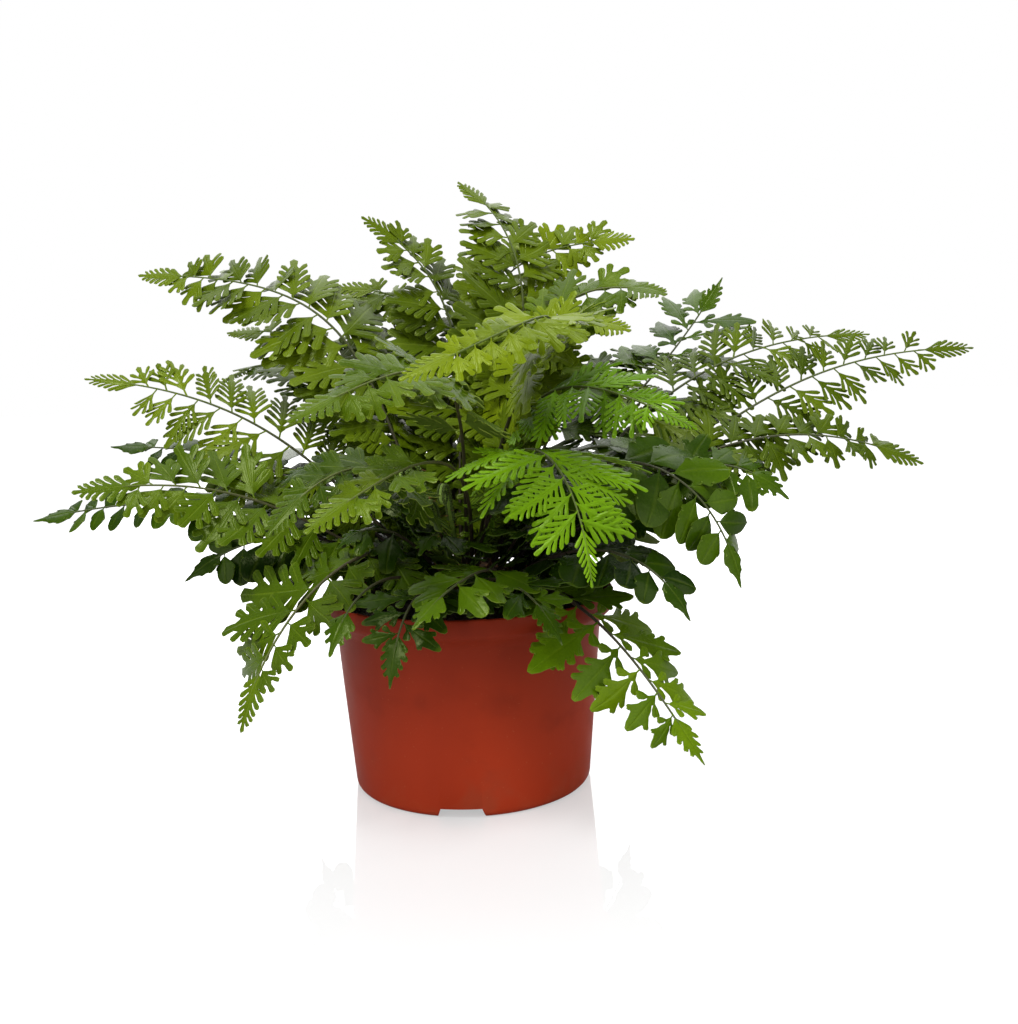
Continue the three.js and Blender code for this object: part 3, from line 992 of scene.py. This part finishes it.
def centre_spot(row):
    """The place of the point that is nearest to the middle of a row."""
    about = middle_of(row)
    return min(row, key=lambda v: (v.co - about).length).co.copy()


def nudge_middle(leaf, heading, distance):
    """Moves the middle point of the last row, to round the lobe's end or to notch it."""
    row = picked(leaf)
    spot = centre_spot(row)
    pick(leaf, lambda v: (v.co - spot).length < SAME_PLACE)
    step = (math.cos(heading) * distance, math.sin(heading) * distance, 0)
    bpy.ops.transform.translate(value=step)


def grow_lobe(leaf, base, heading, length, wide, rows, end):
    """One lobe, from the stretch of edge through three points of the strip."""
    near = lambda v: min((v.co - point).length for point in base) < 0.02 * MM
    pick(leaf, lambda e: all(near(v) for v in e.verts), "edges")
    across = base[2] - base[0]
    width = across.length
    hand = 1 if base[1].y > 0 else -1
    angle = math.atan2(across.y, across.x)
    wanted = heading - hand * math.pi / 2
    gone = 0.0
    for i, (share, spread) in enumerate(rows):
        part = (0.55, 1.0)[min(i, 1)] * (wanted - angle)
        advance = (share - gone) * length
        step = (math.cos(heading) * advance, math.sin(heading) * advance, 0)
        push(leaf, step, spread * wide / width, math.degrees(part))
        width, gone = spread * wide, share
        angle += part
        if i == 0:
            centre = centre_spot(picked(leaf))
            mark(leaf, "vein", 0.0, lambda v: (v.co - centre).length < SAME_PLACE)
    mark(leaf, "tip", 1.0)
    nudge_middle(leaf, heading, end * wide)


print("lobe tools ready")


# %% Sizes of a lobe
def lobe_sizes(kind, j, pairs, size, is_end, dice):
    """A lobe's length, width, lean, rows and end, or nothing where the leaflet's edge is plain."""
    k = KINDS[kind]
    share = (j + 0.5) / pairs
    shorter = 0.85 - 0.58 * share if is_end else 1 - 0.45 * share**1.4
    narrower = 0.8 - 0.35 * share if is_end else 1 - 0.2 * share
    length = k["lobe"] * size * MM * shorter * dice.uniform(0.9, 1.08)
    wide = k["wide"] * size * MM * narrower * dice.uniform(0.93, 1.07)
    lean = k["lean"] + (2 if is_end else 14) * (1 - share) + dice.uniform(-4, 4)
    rows, end = k["rows"], k["end"] + dice.choice((0, 0.12, -0.12))
    if kind in ("broad", "oval") and not is_end:
        if j == pairs - 3 or (pairs == 2 and j == 0):
            return None  # the wedge below the teeth
        if j < pairs - 3:
            length = BROAD_FOOT["lobe"] * size * MM * dice.uniform(0.75, 1.1)
            wide = BROAD_FOOT["wide"] * size * MM * dice.uniform(0.85, 1.1)
            lean = BROAD_FOOT["lean"] + dice.uniform(-6, 8)
            rows = FOOT_ROWS
    if kind == "toothed" and not is_end:
        if j == 1:
            return None
        if j == 0:
            length, wide = TOOTHED_FOOT["lobe"] * size * MM, TOOTHED_FOOT["wide"] * size * MM
            lean, rows = TOOTHED_FOOT["lean"], FOOT_ROWS
    return length, wide, math.radians(lean), rows, end


print("lobe sizes ready")


# %% Grow a leaflet
def grow_leaflet(kind, pairs, version, is_end=False):
    """A flat leaflet that starts at the origin and points along +X, with its upper side up.

    The cut end of a frond is made in the same way, and its lobes get smaller and smaller.
    """
    k = KINDS[kind]
    dice = random.Random(f"{kind}{pairs}{version}")
    size = 1.0 if is_end else 0.74 + 0.26 * min(1, pairs / k["made"][0][0]) ** 0.7
    pitch, wide, stalklet = (k[key] * size * MM for key in ("pitch", "wide", "stalklet"))
    strip = k["strip"]
    if is_end:
        strip = (0.4, *[max(strip) * share for share in (0.7, 0.65, 0.5, 0.3)])
    off_middle = lambda v: abs(v.co.y) > 0.1 * MM

    select_only()
    bpy.ops.mesh.primitive_grid_add(x_subdivisions=1, y_subdivisions=2, size=1, location=(0, 0, 0))
    leaf = bpy.context.object
    for layer in ("vein", "tip"):
        leaf.data.attributes.new(layer, "FLOAT", "POINT")
    begin(leaf)
    bpy.ops.transform.translate(value=(0.5, 0, 0))
    bpy.ops.transform.resize(value=(stalklet, 2 * STALKLET_HALF, 1), center_override=(0, 0, 0))
    pick(leaf, lambda e: all(v.co.x > 0.9 * stalklet for v in e.verts), "edges")
    mark(leaf, "vein", 0.75, off_middle)

    edge, half, x = [(stalklet, STALKLET_HALF)], STALKLET_HALF, stalklet
    columns = 2 * pairs
    for column in range(1, columns + 1):
        share = column / columns
        next_half = float(np.interp(share, np.linspace(0, 1, len(strip)), strip)) * size * MM
        step = pitch / 2 * (1 - 0.45 * share * is_end)
        bpy.ops.mesh.extrude_region_move(TRANSFORM_OT_translate={"value": (step, 0, 0)})
        bpy.ops.transform.resize(value=(1, next_half / half, 1), center_override=(0, 0, 0))
        half = next_half
        x += step
        edge.append((x, half))
        mark(leaf, "vein", 0.75, off_middle)

    tip_length, tip_wide = k["tip"] * size * MM, max(wide, k["tip_room"] * half)
    if is_end:
        tip_length, tip_wide = 0.6 * tip_length, 0.6 * wide
    tip_rows = k.get("tip_rows", k["rows"])
    width, gone = 2 * half, 0.0
    for share, spread in tip_rows:
        push(leaf, ((share - gone) * tip_length, 0, 0), spread * tip_wide / width)
        width, gone = spread * tip_wide, share
        mark(leaf, "vein", 1.0, off_middle)
    mark(leaf, "tip", 1.0)
    nudge_middle(leaf, 0, 0.2 * tip_wide * tip_rows[-1][1])

    for hand in (1, -1):
        for j in range(pairs):
            lobe = lobe_sizes(kind, j, pairs, size, is_end, dice)
            if lobe:
                length, lobe_wide, lean, rows, end = lobe
                base = [Vector((along, hand * half, 0)) for along, half in edge[2 * j : 2 * j + 3]]
                grow_lobe(leaf, base, hand * lean, length, lobe_wide, rows, end)

    pick(leaf, lambda v: True)
    bpy.ops.mesh.normals_make_consistent(inside=False)
    finish_edit()
    if sum(p.normal.z for p in leaf.data.polygons) < 0:
        leaf.data.flip_normals()
    dome(leaf)
    leaf.name = f"{kind}_end" if is_end else f"{kind}_leaflet_{pairs}_{version}"
    return leaf


def dome(leaf):
    """Lifts the middle of each lobe above its edges."""
    begin(leaf)
    vein = bmesh.from_edit_mesh(leaf.data).verts.layers.float["vein"]
    pick(leaf, lambda v: v[vein] < 0.3)
    bpy.ops.transform.translate(value=(0, 0, DOME))
    finish_edit()


def lay_out(leaf):
    """The leaflet's own map: its plan, with the middle of the stalk end at u = 0 and v = 0.5."""
    places = np.array([leaf.data.vertices[loop.vertex_index].co for loop in leaf.data.loops])
    plan = np.stack([places[:, 0] / MAP_SIZE, places[:, 1] / MAP_SIZE + 0.5], axis=1)
    leaf.data.uv_layers.active.data.foreach_set("uv", plan.astype(np.float32).ravel())


trial = grow_leaflet("fine", 5, 0)
print(trial.name, len(trial.data.polygons), "faces", [round(v / MM, 1) for v in trial.dimensions])
throw_away([trial])

# %% [markdown]
# ## Leaf finishes
# The upper side is leathery, with a soft green shine. Its green goes from deep, on old fronds in
# the shade, to bright yellow green on new ones, by a value called bloom that is painted on
# each leaflet. It is also set lower on the leaflets low on the stalks and on the low fronds in the
# middle, as painted shade. The veins are paler and sunken, fine veins fan out from the leaflet's
# foot, and the ends of the lobes are pale. The underside is duller and lighter. Stalks go from
# brown to green.


# %% Leaf finishes
GREEN_SHINE = (0.8, 0.9, 0.4, 1)
FAN_VEINS = 75


def leaf_finish(name, upper, pale, rib_share, gloss, fan_share):
    leaf = Finish(name, specular_ior_level=0.19, specular_tint=GREEN_SHINE)
    bloom, vein, tip = (leaf.marked(layer) for layer in ("bloom", "vein", "tip"))
    clouds, grain = leaf.noise(60, 3), leaf.noise(1300, 3)
    shade = bloom + (clouds - 0.5) * 0.34 + (grain - 0.5) * 0.2
    base = leaf.ramp(shade, [(i / (len(upper) - 1), green) for i, green in enumerate(upper)])
    rib = 1 - leaf.rise(vein, 0.0, 0.14)
    base = leaf.blend(rib * rib_share, base, pale)
    base = leaf.blend(leaf.rise(vein, 0.88, 1.0) * 0.1 + tip * 0.14, base, pale)
    plan = leaf.node("ShaderNodeUVMap")
    along = leaf.node("ShaderNodeSeparateXYZ", {}, {"Vector": plan}, out="X")
    across = leaf.node("ShaderNodeSeparateXYZ", {}, {"Vector": plan}, out="Y") - 0.5
    angle = across.sum("ARCTAN2", across, along)
    fan = angle.sum("SINE", angle * FAN_VEINS, 0)
    height = leaf.rise(vein, 0.0, 0.2) * 0.5 + grain * 0.3 + leaf.noise(260, 2) * 0.6
    height = height + fan * fan_share
    return leaf.use(
        base_color=base,
        roughness=gloss + grain * 0.1 + clouds * 0.1,
        normal=leaf.bump(height, 0.35 * MM, 0.7),
    )


def underside_finish(name, green):
    under = Finish(name, specular_ior_level=0.15)
    grain = under.noise(900, 3)
    base = under.blend(0.3 + under.marked("bloom") * 0.7, green, colour(108, 132, 42))
    rib = 1 - under.rise(under.marked("vein"), 0, 0.2)
    base = under.blend(rib * 0.3, base, colour(118, 134, 56))
    bumps = under.bump(grain, 0.2 * MM)
    return under.use(base_color=base, roughness=0.55 + grain * 0.2, normal=bumps)


def margin_finish(name, dark, bright):
    """The thin pale edge all round a leaflet."""
    margin = Finish(name, specular_ior_level=0.2)
    grain = margin.noise(900, 3)
    base = margin.blend(margin.marked("bloom") + (grain - 0.5) * 0.3, dark, bright)
    return margin.use(base_color=base, roughness=0.5 + grain * 0.2)


def stalk_finish(name, foot, middle, end):
    stalk = Finish(name, specular_ior_level=0.4)
    along = stalk.marked("along")
    fibre = stalk.noise(1500, 4)
    base = stalk.ramp(along + (fibre - 0.5) * 0.25, [(0.05, foot), (0.4, middle), (0.95, end)])
    bumps = stalk.bump(fibre, 0.15 * MM)
    return stalk.use(base_color=base, roughness=0.4 + fibre * 0.25, normal=bumps)


print("leaf finish recipes ready")


# %% Greens
def greens(*shades):
    return [colour(*shade) for shade in shades]


# For each: greens from old to new, the margin's two greens, and the shares of rib, gloss and fan.
LEAVES = {
    "feather": (
        greens((28, 48, 4), (58, 88, 5), (80, 118, 6), (104, 146, 8)),
        greens((60, 90, 14), (124, 164, 28)), (0.12, 0.2, 0.04),
    ),
    "fine": (
        greens((30, 46, 5), (62, 80, 6), (90, 109, 8), (120, 138, 12)),
        greens((68, 88, 16), (134, 156, 36)), (0.14, 0.2, 0.05),
    ),
    "lobed": (
        greens((24, 42, 3), (50, 72, 4), (72, 95, 5), (104, 124, 10)),
        greens((84, 102, 26), (152, 170, 64)), (0.14, 0.19, 0.05),
    ),
    "broad": (
        greens((14, 34, 3), (42, 66, 4), (72, 99, 6), (102, 128, 10)),
        greens((50, 74, 14), (120, 144, 38)), (0.06, 0.14, 0),
    ),
}
PALE = colour(146, 168, 40)
finishes = {
    kind: [
        leaf_finish(f"{kind}_leaf", upper, PALE, *shares),
        underside_finish(f"{kind}_leaf_underside", upper[1]),
        margin_finish(f"{kind}_leaf_margin", *margin),
    ]
    for kind, (upper, margin, shares) in LEAVES.items()
}
finishes.update(full=finishes["fine"], oval=finishes["broad"], toothed=finishes["broad"])
STALKS = {
    "fine": greens((44, 32, 20), (56, 58, 26), (84, 104, 26)),
    "lobed": greens((40, 30, 22), (66, 62, 34), (92, 106, 40)),
    "broad": greens((38, 27, 22), (52, 42, 30), (70, 84, 34)),
}
stalk_finishes = {kind: stalk_finish(f"{kind}_stalk", *shades) for kind, shades in STALKS.items()}
print("leaf finishes:", len(LEAVES) * 3 + len(STALKS))

# %% Model each leaflet once
leaflets, frond_ends = {}, {}
for kind, k in KINDS.items():
    frond_ends[kind] = grow_leaflet(kind, k["end_pairs"], 0, is_end=True)
    leaflets[kind] = []
    for pairs, versions in k["made"]:
        made = [grow_leaflet(kind, pairs, version) for version in range(versions)]
        leaflets[kind].append((made[0].dimensions.x, made))
    masters = [frond_ends[kind], *(leaf for _, made in leaflets[kind] for leaf in made)]
    print(kind, "leaflets:", [round(long / MM, 1) for long, _ in leaflets[kind]], "mm long")
    for leaf in masters:
        lay_out(leaf)
        for finish in finishes[kind]:
            leaf.data.materials.append(finish)
        with_modifier(
            leaf, "SOLIDIFY", thickness=LEAF_THICK, offset=-1, material_offset=1,
            material_offset_rim=2,
        )
        bpy.ops.object.shade_smooth_by_angle(angle=math.radians(50))

# %% [markdown]
# ## Growing a frond
# A frond is a tapering stalk with leaflets on alternate sides, set a little forward and overlapping
# like tiles. Each leaflet is a copy with its own mesh: it is scaled to the blade's width there,
# arched, cupped and twisted by its own amount, and moved to its place on the midrib.


# %% Stalk
def stalk_along(line, radius_foot, radius_tip, finish, name):
    """A round tapering stalk through a line's points, with its own measure from foot to tip."""
    curve = bpy.data.curves.new(name, "CURVE")
    curve.dimensions = "3D"
    curve.bevel_depth = 1.0
    curve.bevel_resolution = 1
    curve.use_fill_caps = True
    points = line[::3] if len(line) % 3 == 1 else np.vstack([line[::3], line[-1:]])
    spline = curve.splines.new("POLY")
    spline.points.add(len(points) - 1)
    for k, (spot, place) in enumerate(zip(spline.points, points)):
        share = k / (len(points) - 1)
        spot.co = (*place, 1)
        spot.radius = radius_foot + (radius_tip - radius_foot) * share**0.8
    stalk = bpy.data.objects.new(name, curve)
    scene.collection.objects.link(stalk)
    select_only(stalk)
    bpy.ops.object.convert(target="MESH")
    places = np.array([v.co for v in stalk.data.vertices])
    nearest = np.array([np.argmin(((points - p) ** 2).sum(1)) for p in places]) / (len(points) - 1)
    stalk.data.attributes.new("along", "FLOAT", "POINT").data.foreach_set("value", nearest)
    stalk.data.materials.append(finish)
    stalk.data.shade_smooth()
    return stalk


print("stalk maker ready")


# %% Leaflets in place
# How leaflets differ from one to the next, from least to most. Droop, sway and cup are shares of a
# leaflet's length, twist is in radians and ripple in millimetres.
SLIMMER, DROOP, CUP = (0.92, 1.12), (0.03, 0.26), (-0.05, 0.22)
TWIST, SWAY, RIPPLE = (-0.4, 0.4), (-0.09, 0.09), (-0.5, 0.5)


def copy_and_read(master):
    """A copy with its own mesh, and its points."""
    leaf = copy_of(master)
    co = np.empty(len(leaf.data.vertices) * 3)
    leaf.data.vertices.foreach_get("co", co)
    return leaf, co.reshape(-1, 3).T


def put(leaf, places, bloom):
    leaf.data.vertices.foreach_set("co", places.ravel())
    painted = leaf.data.attributes.new("bloom", "FLOAT", "POINT")
    painted.data.foreach_set("value", np.full(len(places), bloom))
    leaf.data.update()
    return leaf


def settle(master, spot, out, upper, length, bloom, dice):
    """A copy of a leaflet, bent by its own amount and set on the midrib."""
    leaf, (x, y, z) = copy_and_read(master)
    scale = length / master.dimensions.x
    x, y = x * scale, y * scale * dice.uniform(*SLIMMER)
    share = x / length
    droop, cup, twist, sway = (dice.uniform(*span) for span in (DROOP, CUP, TWIST, SWAY))
    ripple = dice.uniform(*RIPPLE) * MM
    z = z - droop * length * share**2 - cup * np.abs(y) ** 1.5 / math.sqrt(length)
    z = z + ripple * np.sin(9 * share + 3) * np.abs(y) / (6 * MM)
    y = y + sway * length * share**2
    cos, sin = np.cos(twist * share), np.sin(twist * share)
    y, z = y * cos - z * sin, y * sin + z * cos
    across = np.cross(upper, out)
    return put(leaf, spot + np.outer(x, out) + np.outer(y, across) + np.outer(z, upper), bloom)


def lay_along(master, line, start, turned, bloom):
    """A copy of a frond's cut end, laid along its midrib from a distance to the tip."""
    leaf, (x, y, z) = copy_and_read(master)
    scale = (line.length - start) / master.dimensions.x
    z = z - 0.12 * np.abs(y)
    places = []
    wide = min(1, scale * 1.15)
    for along, across, up in zip(start + x * scale, y, z):
        spot, forward, _, upper, _ = line.at(min(along, line.length))
        side, upper = turned(forward, upper)
        places.append(spot - across * wide * side + up * upper)
    return put(leaf, np.array(places), bloom)


print("leaflet setters ready")


# %% What is particular to each frond
LOW_LEAVES = 0.15  # smaller leaflets start at this share of the bare stalk
STALK_FOOT, STALK_TIP = 0.9 * MM, 0.28 * MM
# Blades turn their upper sides to the window, which is in front. Those at the back turn less.
WINDOW = unit(np.array([0, -1, 0.25]))
FRONT_TURN, BACK_TURN, BACK = 0.45, 0.15, 10 * MM
# A leaflet leans towards the tip, more so near the tip, in degrees. It may hang or rise a little.
LEAN_LOW, LEAN_MORE, LEAN_VARIES = 16, 24, (-9, 9)
HANGS, TILTS_ON, TILTS_OUT = (-0.34, 0.1), (0.1, 0.6), (-0.25, 0.25)
# How new each kind is: 0 is old and deep green, and 1 is new and bright.
NEWNESS = {"fine": 0.46, "lobed": 0.4, "broad": 0.3}
# Shape is that of the leaflets, where it isn't simply the frond's kind, and bigger is their size.
# New and turned stand in for what is usual. Sparse is a stretch with small leaflets or none, which
# leaves the pot's rim or a young frond in view: from and to, as shares of the frond's length, on
# how many sides (one is the lower side), and the leaflets' size there.
FRONDS = {
    "fine_01": dict(shape="feather", bigger=1.2, new=0.98, turned=0.1, sparse=(0.0, 0.46, 2, 0.45)),
    "fine_02": dict(shape="feather", bigger=1.1, new=0.72),
    "fine_03": dict(shape="full", new=0.74, turned=1.5),
    "fine_04": dict(shape="full", bigger=1.4),
    "fine_05": dict(shape="full", bigger=1.35, new=0.72, turned=1.6),
    "fine_06": dict(shape="full", bigger=1.4, turned=1.6),
    "fine_07": dict(shape="full", bigger=1.35, turned=1.0),
    "fine_08": dict(shape="full", bigger=1.25, new=0.74, turned=1.4),
    "fine_09": dict(bigger=1.2, new=0.58),
    "fine_10": dict(shape="full", bigger=1.15, new=0.55),
    "fine_11": dict(shape="full", new=0.4),
    "fine_12": dict(bigger=1.15, new=0.36),
    "fine_13": dict(bigger=1.25, new=0.46),
    "fine_14": dict(shape="full"),
    "lobed_01": dict(new=0.58, turned=0.2, sparse=(0.0, 0.32, 2, 0)),
    "lobed_02": dict(new=0.72, sparse=(0.0, 0.62, 2, 0)),
    "lobed_03": dict(new=0.35),
    "lobed_04": dict(bigger=1.25, new=0.6, turned=1.6),
    "lobed_05": dict(bigger=1.1, new=0.6),
    "lobed_06": dict(bigger=1.6, new=0.62, sparse=(0.28, 1.0, 1, 0.48)),
    "broad_01": dict(new=0.55),
    "broad_02": dict(shape="toothed", new=0.72),
    "broad_03": dict(shape="toothed"),
    "broad_04": dict(new=0.4, sparse=(0.1, 0.72, 2, 0)),
    "broad_05": dict(shape="toothed"),
    "broad_06": dict(shape="oval", new=0.3),
    "broad_07": dict(shape="oval"),
    "broad_08": dict(shape="oval", new=0.12),
    "broad_09": dict(shape="full", bigger=1.3, new=0.34),
    "broad_10": dict(shape="toothed", bigger=2.2, new=0.42),
    "broad_11": dict(shape="oval", bigger=1.3, new=0.4),
    "broad_12": dict(bigger=1.3, new=0.34),
    "broad_13": dict(shape="oval", bigger=1.2),
    "broad_29": dict(bigger=1.4, new=0.16),
    "broad_30": dict(shape="oval", bigger=1.4),
}
for n in range(14, 21):
    bigger = 1.2 if n < 18 else 1.4
    FRONDS[f"broad_{n}"] = dict(shape="oval", bigger=bigger, new=0.4 + 0.04 * (n % 3))
# These low fronds in the middle are deep green: they are old, and the low value is also painted
# shade where they stand under the others.
for n in range(21, 29):
    FRONDS[f"broad_{n}"] = dict(new=0.16)
print("fronds with something of their own:", len(FRONDS), "of", len(midribs))


# %% Grow a frond
def leaflet_for(kind, length, dice):
    fitting = min(leaflets[kind], key=lambda made: abs(math.log(made[0] / length)))
    return dice.choice(fitting[1])


def grow_frond(node):
    name = node.removeprefix("frond_")
    kind = name.split("_")[0]
    own = FRONDS.get(name, {})
    shape = own.get("shape", kind)
    k = KINDS[shape]
    spacing, shortest, end_reach = (k[key] * MM for key in ("spacing", "shortest", "end_reach"))
    line = midribs[node]
    dice = random.Random(node)
    bloom = own.get("new", NEWNESS[kind] + dice.uniform(-0.14, 0.06))
    usual_turn = FRONT_TURN if line.points[:, 1].mean() < BACK else BACK_TURN
    how_much = own.get("turned", usual_turn)

    def turned(forward, upper):
        """The blade's side and upper directions, after it has turned to the window."""
        upper = unit(upper + how_much * (WINDOW - forward * (WINDOW @ forward)))
        return np.cross(forward, upper), upper

    parts = [stalk_along(line.points, STALK_FOOT, STALK_TIP, stalk_finishes[kind], node + "_stalk")]
    widest = max(line.half)
    sparse_from, sparse_to, sparse_sides, left_over = own.get("sparse", (1, 1, 0, 1))
    last = line.length - min(end_reach, 0.35 * (line.length - line.blade_from))
    start = line.blade_from * LOW_LEAVES
    distance = start
    hand = dice.choice((-1, 1))
    while distance < last:
        spot, forward, side, upper, half = line.at(distance)
        side, upper = turned(forward, upper)
        gone = max(0, distance - line.blade_from) / (line.length - line.blade_from)
        low = min(1, (distance - start) / (line.blade_from - start))
        half *= 0.65 + 0.35 * low
        lean = math.radians(LEAN_LOW + LEAN_MORE * gone + dice.uniform(*LEAN_VARIES))
        out = side * hand * math.cos(lean) + forward * math.sin(lean)
        out = unit(out + upper * dice.uniform(*HANGS))
        tilted = upper + forward * dice.uniform(*TILTS_ON) + side * dice.uniform(*TILTS_OUT)
        tilted = unit(tilted - out * (tilted @ out))
        least = shortest * dice.uniform(0.9, 1.15)
        length = max(least, half * k["longer"] * dice.uniform(0.86, 1.08)) * own.get("bigger", 1.0)
        # Leaflets low on the stalk, near the crown, are painted darker: painted shade under the
        # fronds.
        shade = bloom + dice.uniform(-0.14, 0.14) + 0.14 * (gone - 0.5) - 0.3 * (1 - low)
        sparse = sparse_from < distance / line.length < sparse_to
        if sparse and (sparse_sides == 2 or side[2] * hand < 0):
            length *= left_over
        if length:
            leaflet = leaflet_for(shape, length, dice)
            parts.append(settle(leaflet, spot, out, tilted, length, shade, dice))
        distance += 0.5 * spacing * (0.5 + 0.5 * min(1, half / widest)) * dice.uniform(0.88, 1.12)
        hand = -hand
    parts.append(lay_along(frond_ends[shape], line, last - 1 * MM, turned, bloom + 0.08))
    return join(parts, node + "_leaves")


print("ready to grow", len(midribs), "fronds")

# %% Grow every frond
total = 0
for node in midribs:
    frond = grow_frond(node)
    hand_over(frond, node)
    total += len(frond.data.polygons)
throw_away(frond_ends.values())
throw_away(leaf for made in leaflets.values() for _, versions in made for leaf in versions)
print("fronds:", len(midribs), "with", total, "faces")

# %% [markdown]
# ## Young fronds
# A young frond is wound up like a watch spring. Its line is read from its own solid. The rolled
# leaflets are small buds on both sides of the coil, and thin brown scales stand out from its stem.


# %% Buds and brown scales
YOUNG_FRONDS = 3
LINE_STEPS = 96
BUDS_FROM, BUDS_EVERY = 34, 2
SCALES_FROM, SCALES_TO = 2, 60

skin = Finish("young_frond_skin", specular_ior_level=0.4)
fibre = skin.noise(900, 4)
# The pale greens are partly painted light. They are paler than the young frond's own green, so that
# it shows up in the shade of the fronds.
base = skin.ramp(
    skin.marked("along") + (fibre - 0.5) * 0.3,
    [(0.1, colour(84, 104, 40)), (0.5, colour(138, 170, 64)), (0.95, colour(176, 206, 104))],
)
skin.use(base_color=base, roughness=0.45 + fibre * 0.2, normal=skin.bump(fibre, 0.2 * MM))
bud = ball_master((1.2, 0.7, 0.7))
finish_edit()
bud.data.materials.append(skin.material)
bud.data.shade_smooth()

brown = Finish("brown_scales", specular_ior_level=0.3)
fibre = brown.noise(700, 3)
base = brown.blend(fibre, colour(96, 66, 34), colour(150, 112, 66))
select_only()
bpy.ops.mesh.primitive_cone_add(vertices=3, radius1=0.22 * MM, depth=2.4 * MM, location=(0, 0, 0))
hair = bpy.context.object
begin(hair)
bpy.ops.transform.translate(value=(0, 0, 1.1 * MM))
finish_edit()
hair.data.materials.append(brown.use(base_color=base, roughness=0.6 + fibre * 0.2))
print("bud:", len(bud.data.polygons), "faces, brown scale:", len(hair.data.polygons), "faces")

# %% Wound up fronds
for number in range(1, YOUNG_FRONDS + 1):
    node = f"crozier_{number}"
    rings, tip = rings_of(node, 6)
    centres = [np.array(sum(ring, Vector()) / len(ring)) for ring in rings] + [np.array(tip)]
    line = smooth_line(centres, LINE_STEPS + 1)
    forward = unit(np.gradient(line, axis=0))
    flat = unit(np.cross(forward[60], forward[75]))
    parts = [stalk_along(line, 1.25 * MM, 0.6 * MM, skin.material, node + "_stem")]
    for k in range(BUDS_FROM, LINE_STEPS, BUDS_EVERY):
        for hand in (-1, 1):
            size = 1.15 - 0.6 * (k / LINE_STEPS)
            out = Vector(unit(flat * hand + forward[k] * 0.5 + np.array([0, 0, 0.05])))
            place = Vector(line[k] + flat * hand * 1.0 * MM)
            bud_place = Matrix.Translation(place) @ facing(out, "X", "Z") @ Matrix.Scale(size, 4)
            parts.append(copy_of(bud, bud_place))
    for k in range(SCALES_FROM, SCALES_TO):
        away = (chance.uniform(-1, 1), chance.uniform(-1, 1), chance.uniform(-0.2, 1))
        away = Vector(away).normalized()
        spot = Vector(line[k]) + away * 0.8 * MM
        parts.append(copy_of(hair, Matrix.Translation(spot) @ facing(away)))
    young = join(parts, f"young_frond_{number}")
    hand_over(young, node)
throw_away([bud, hair])
print("young fronds:", YOUNG_FRONDS)
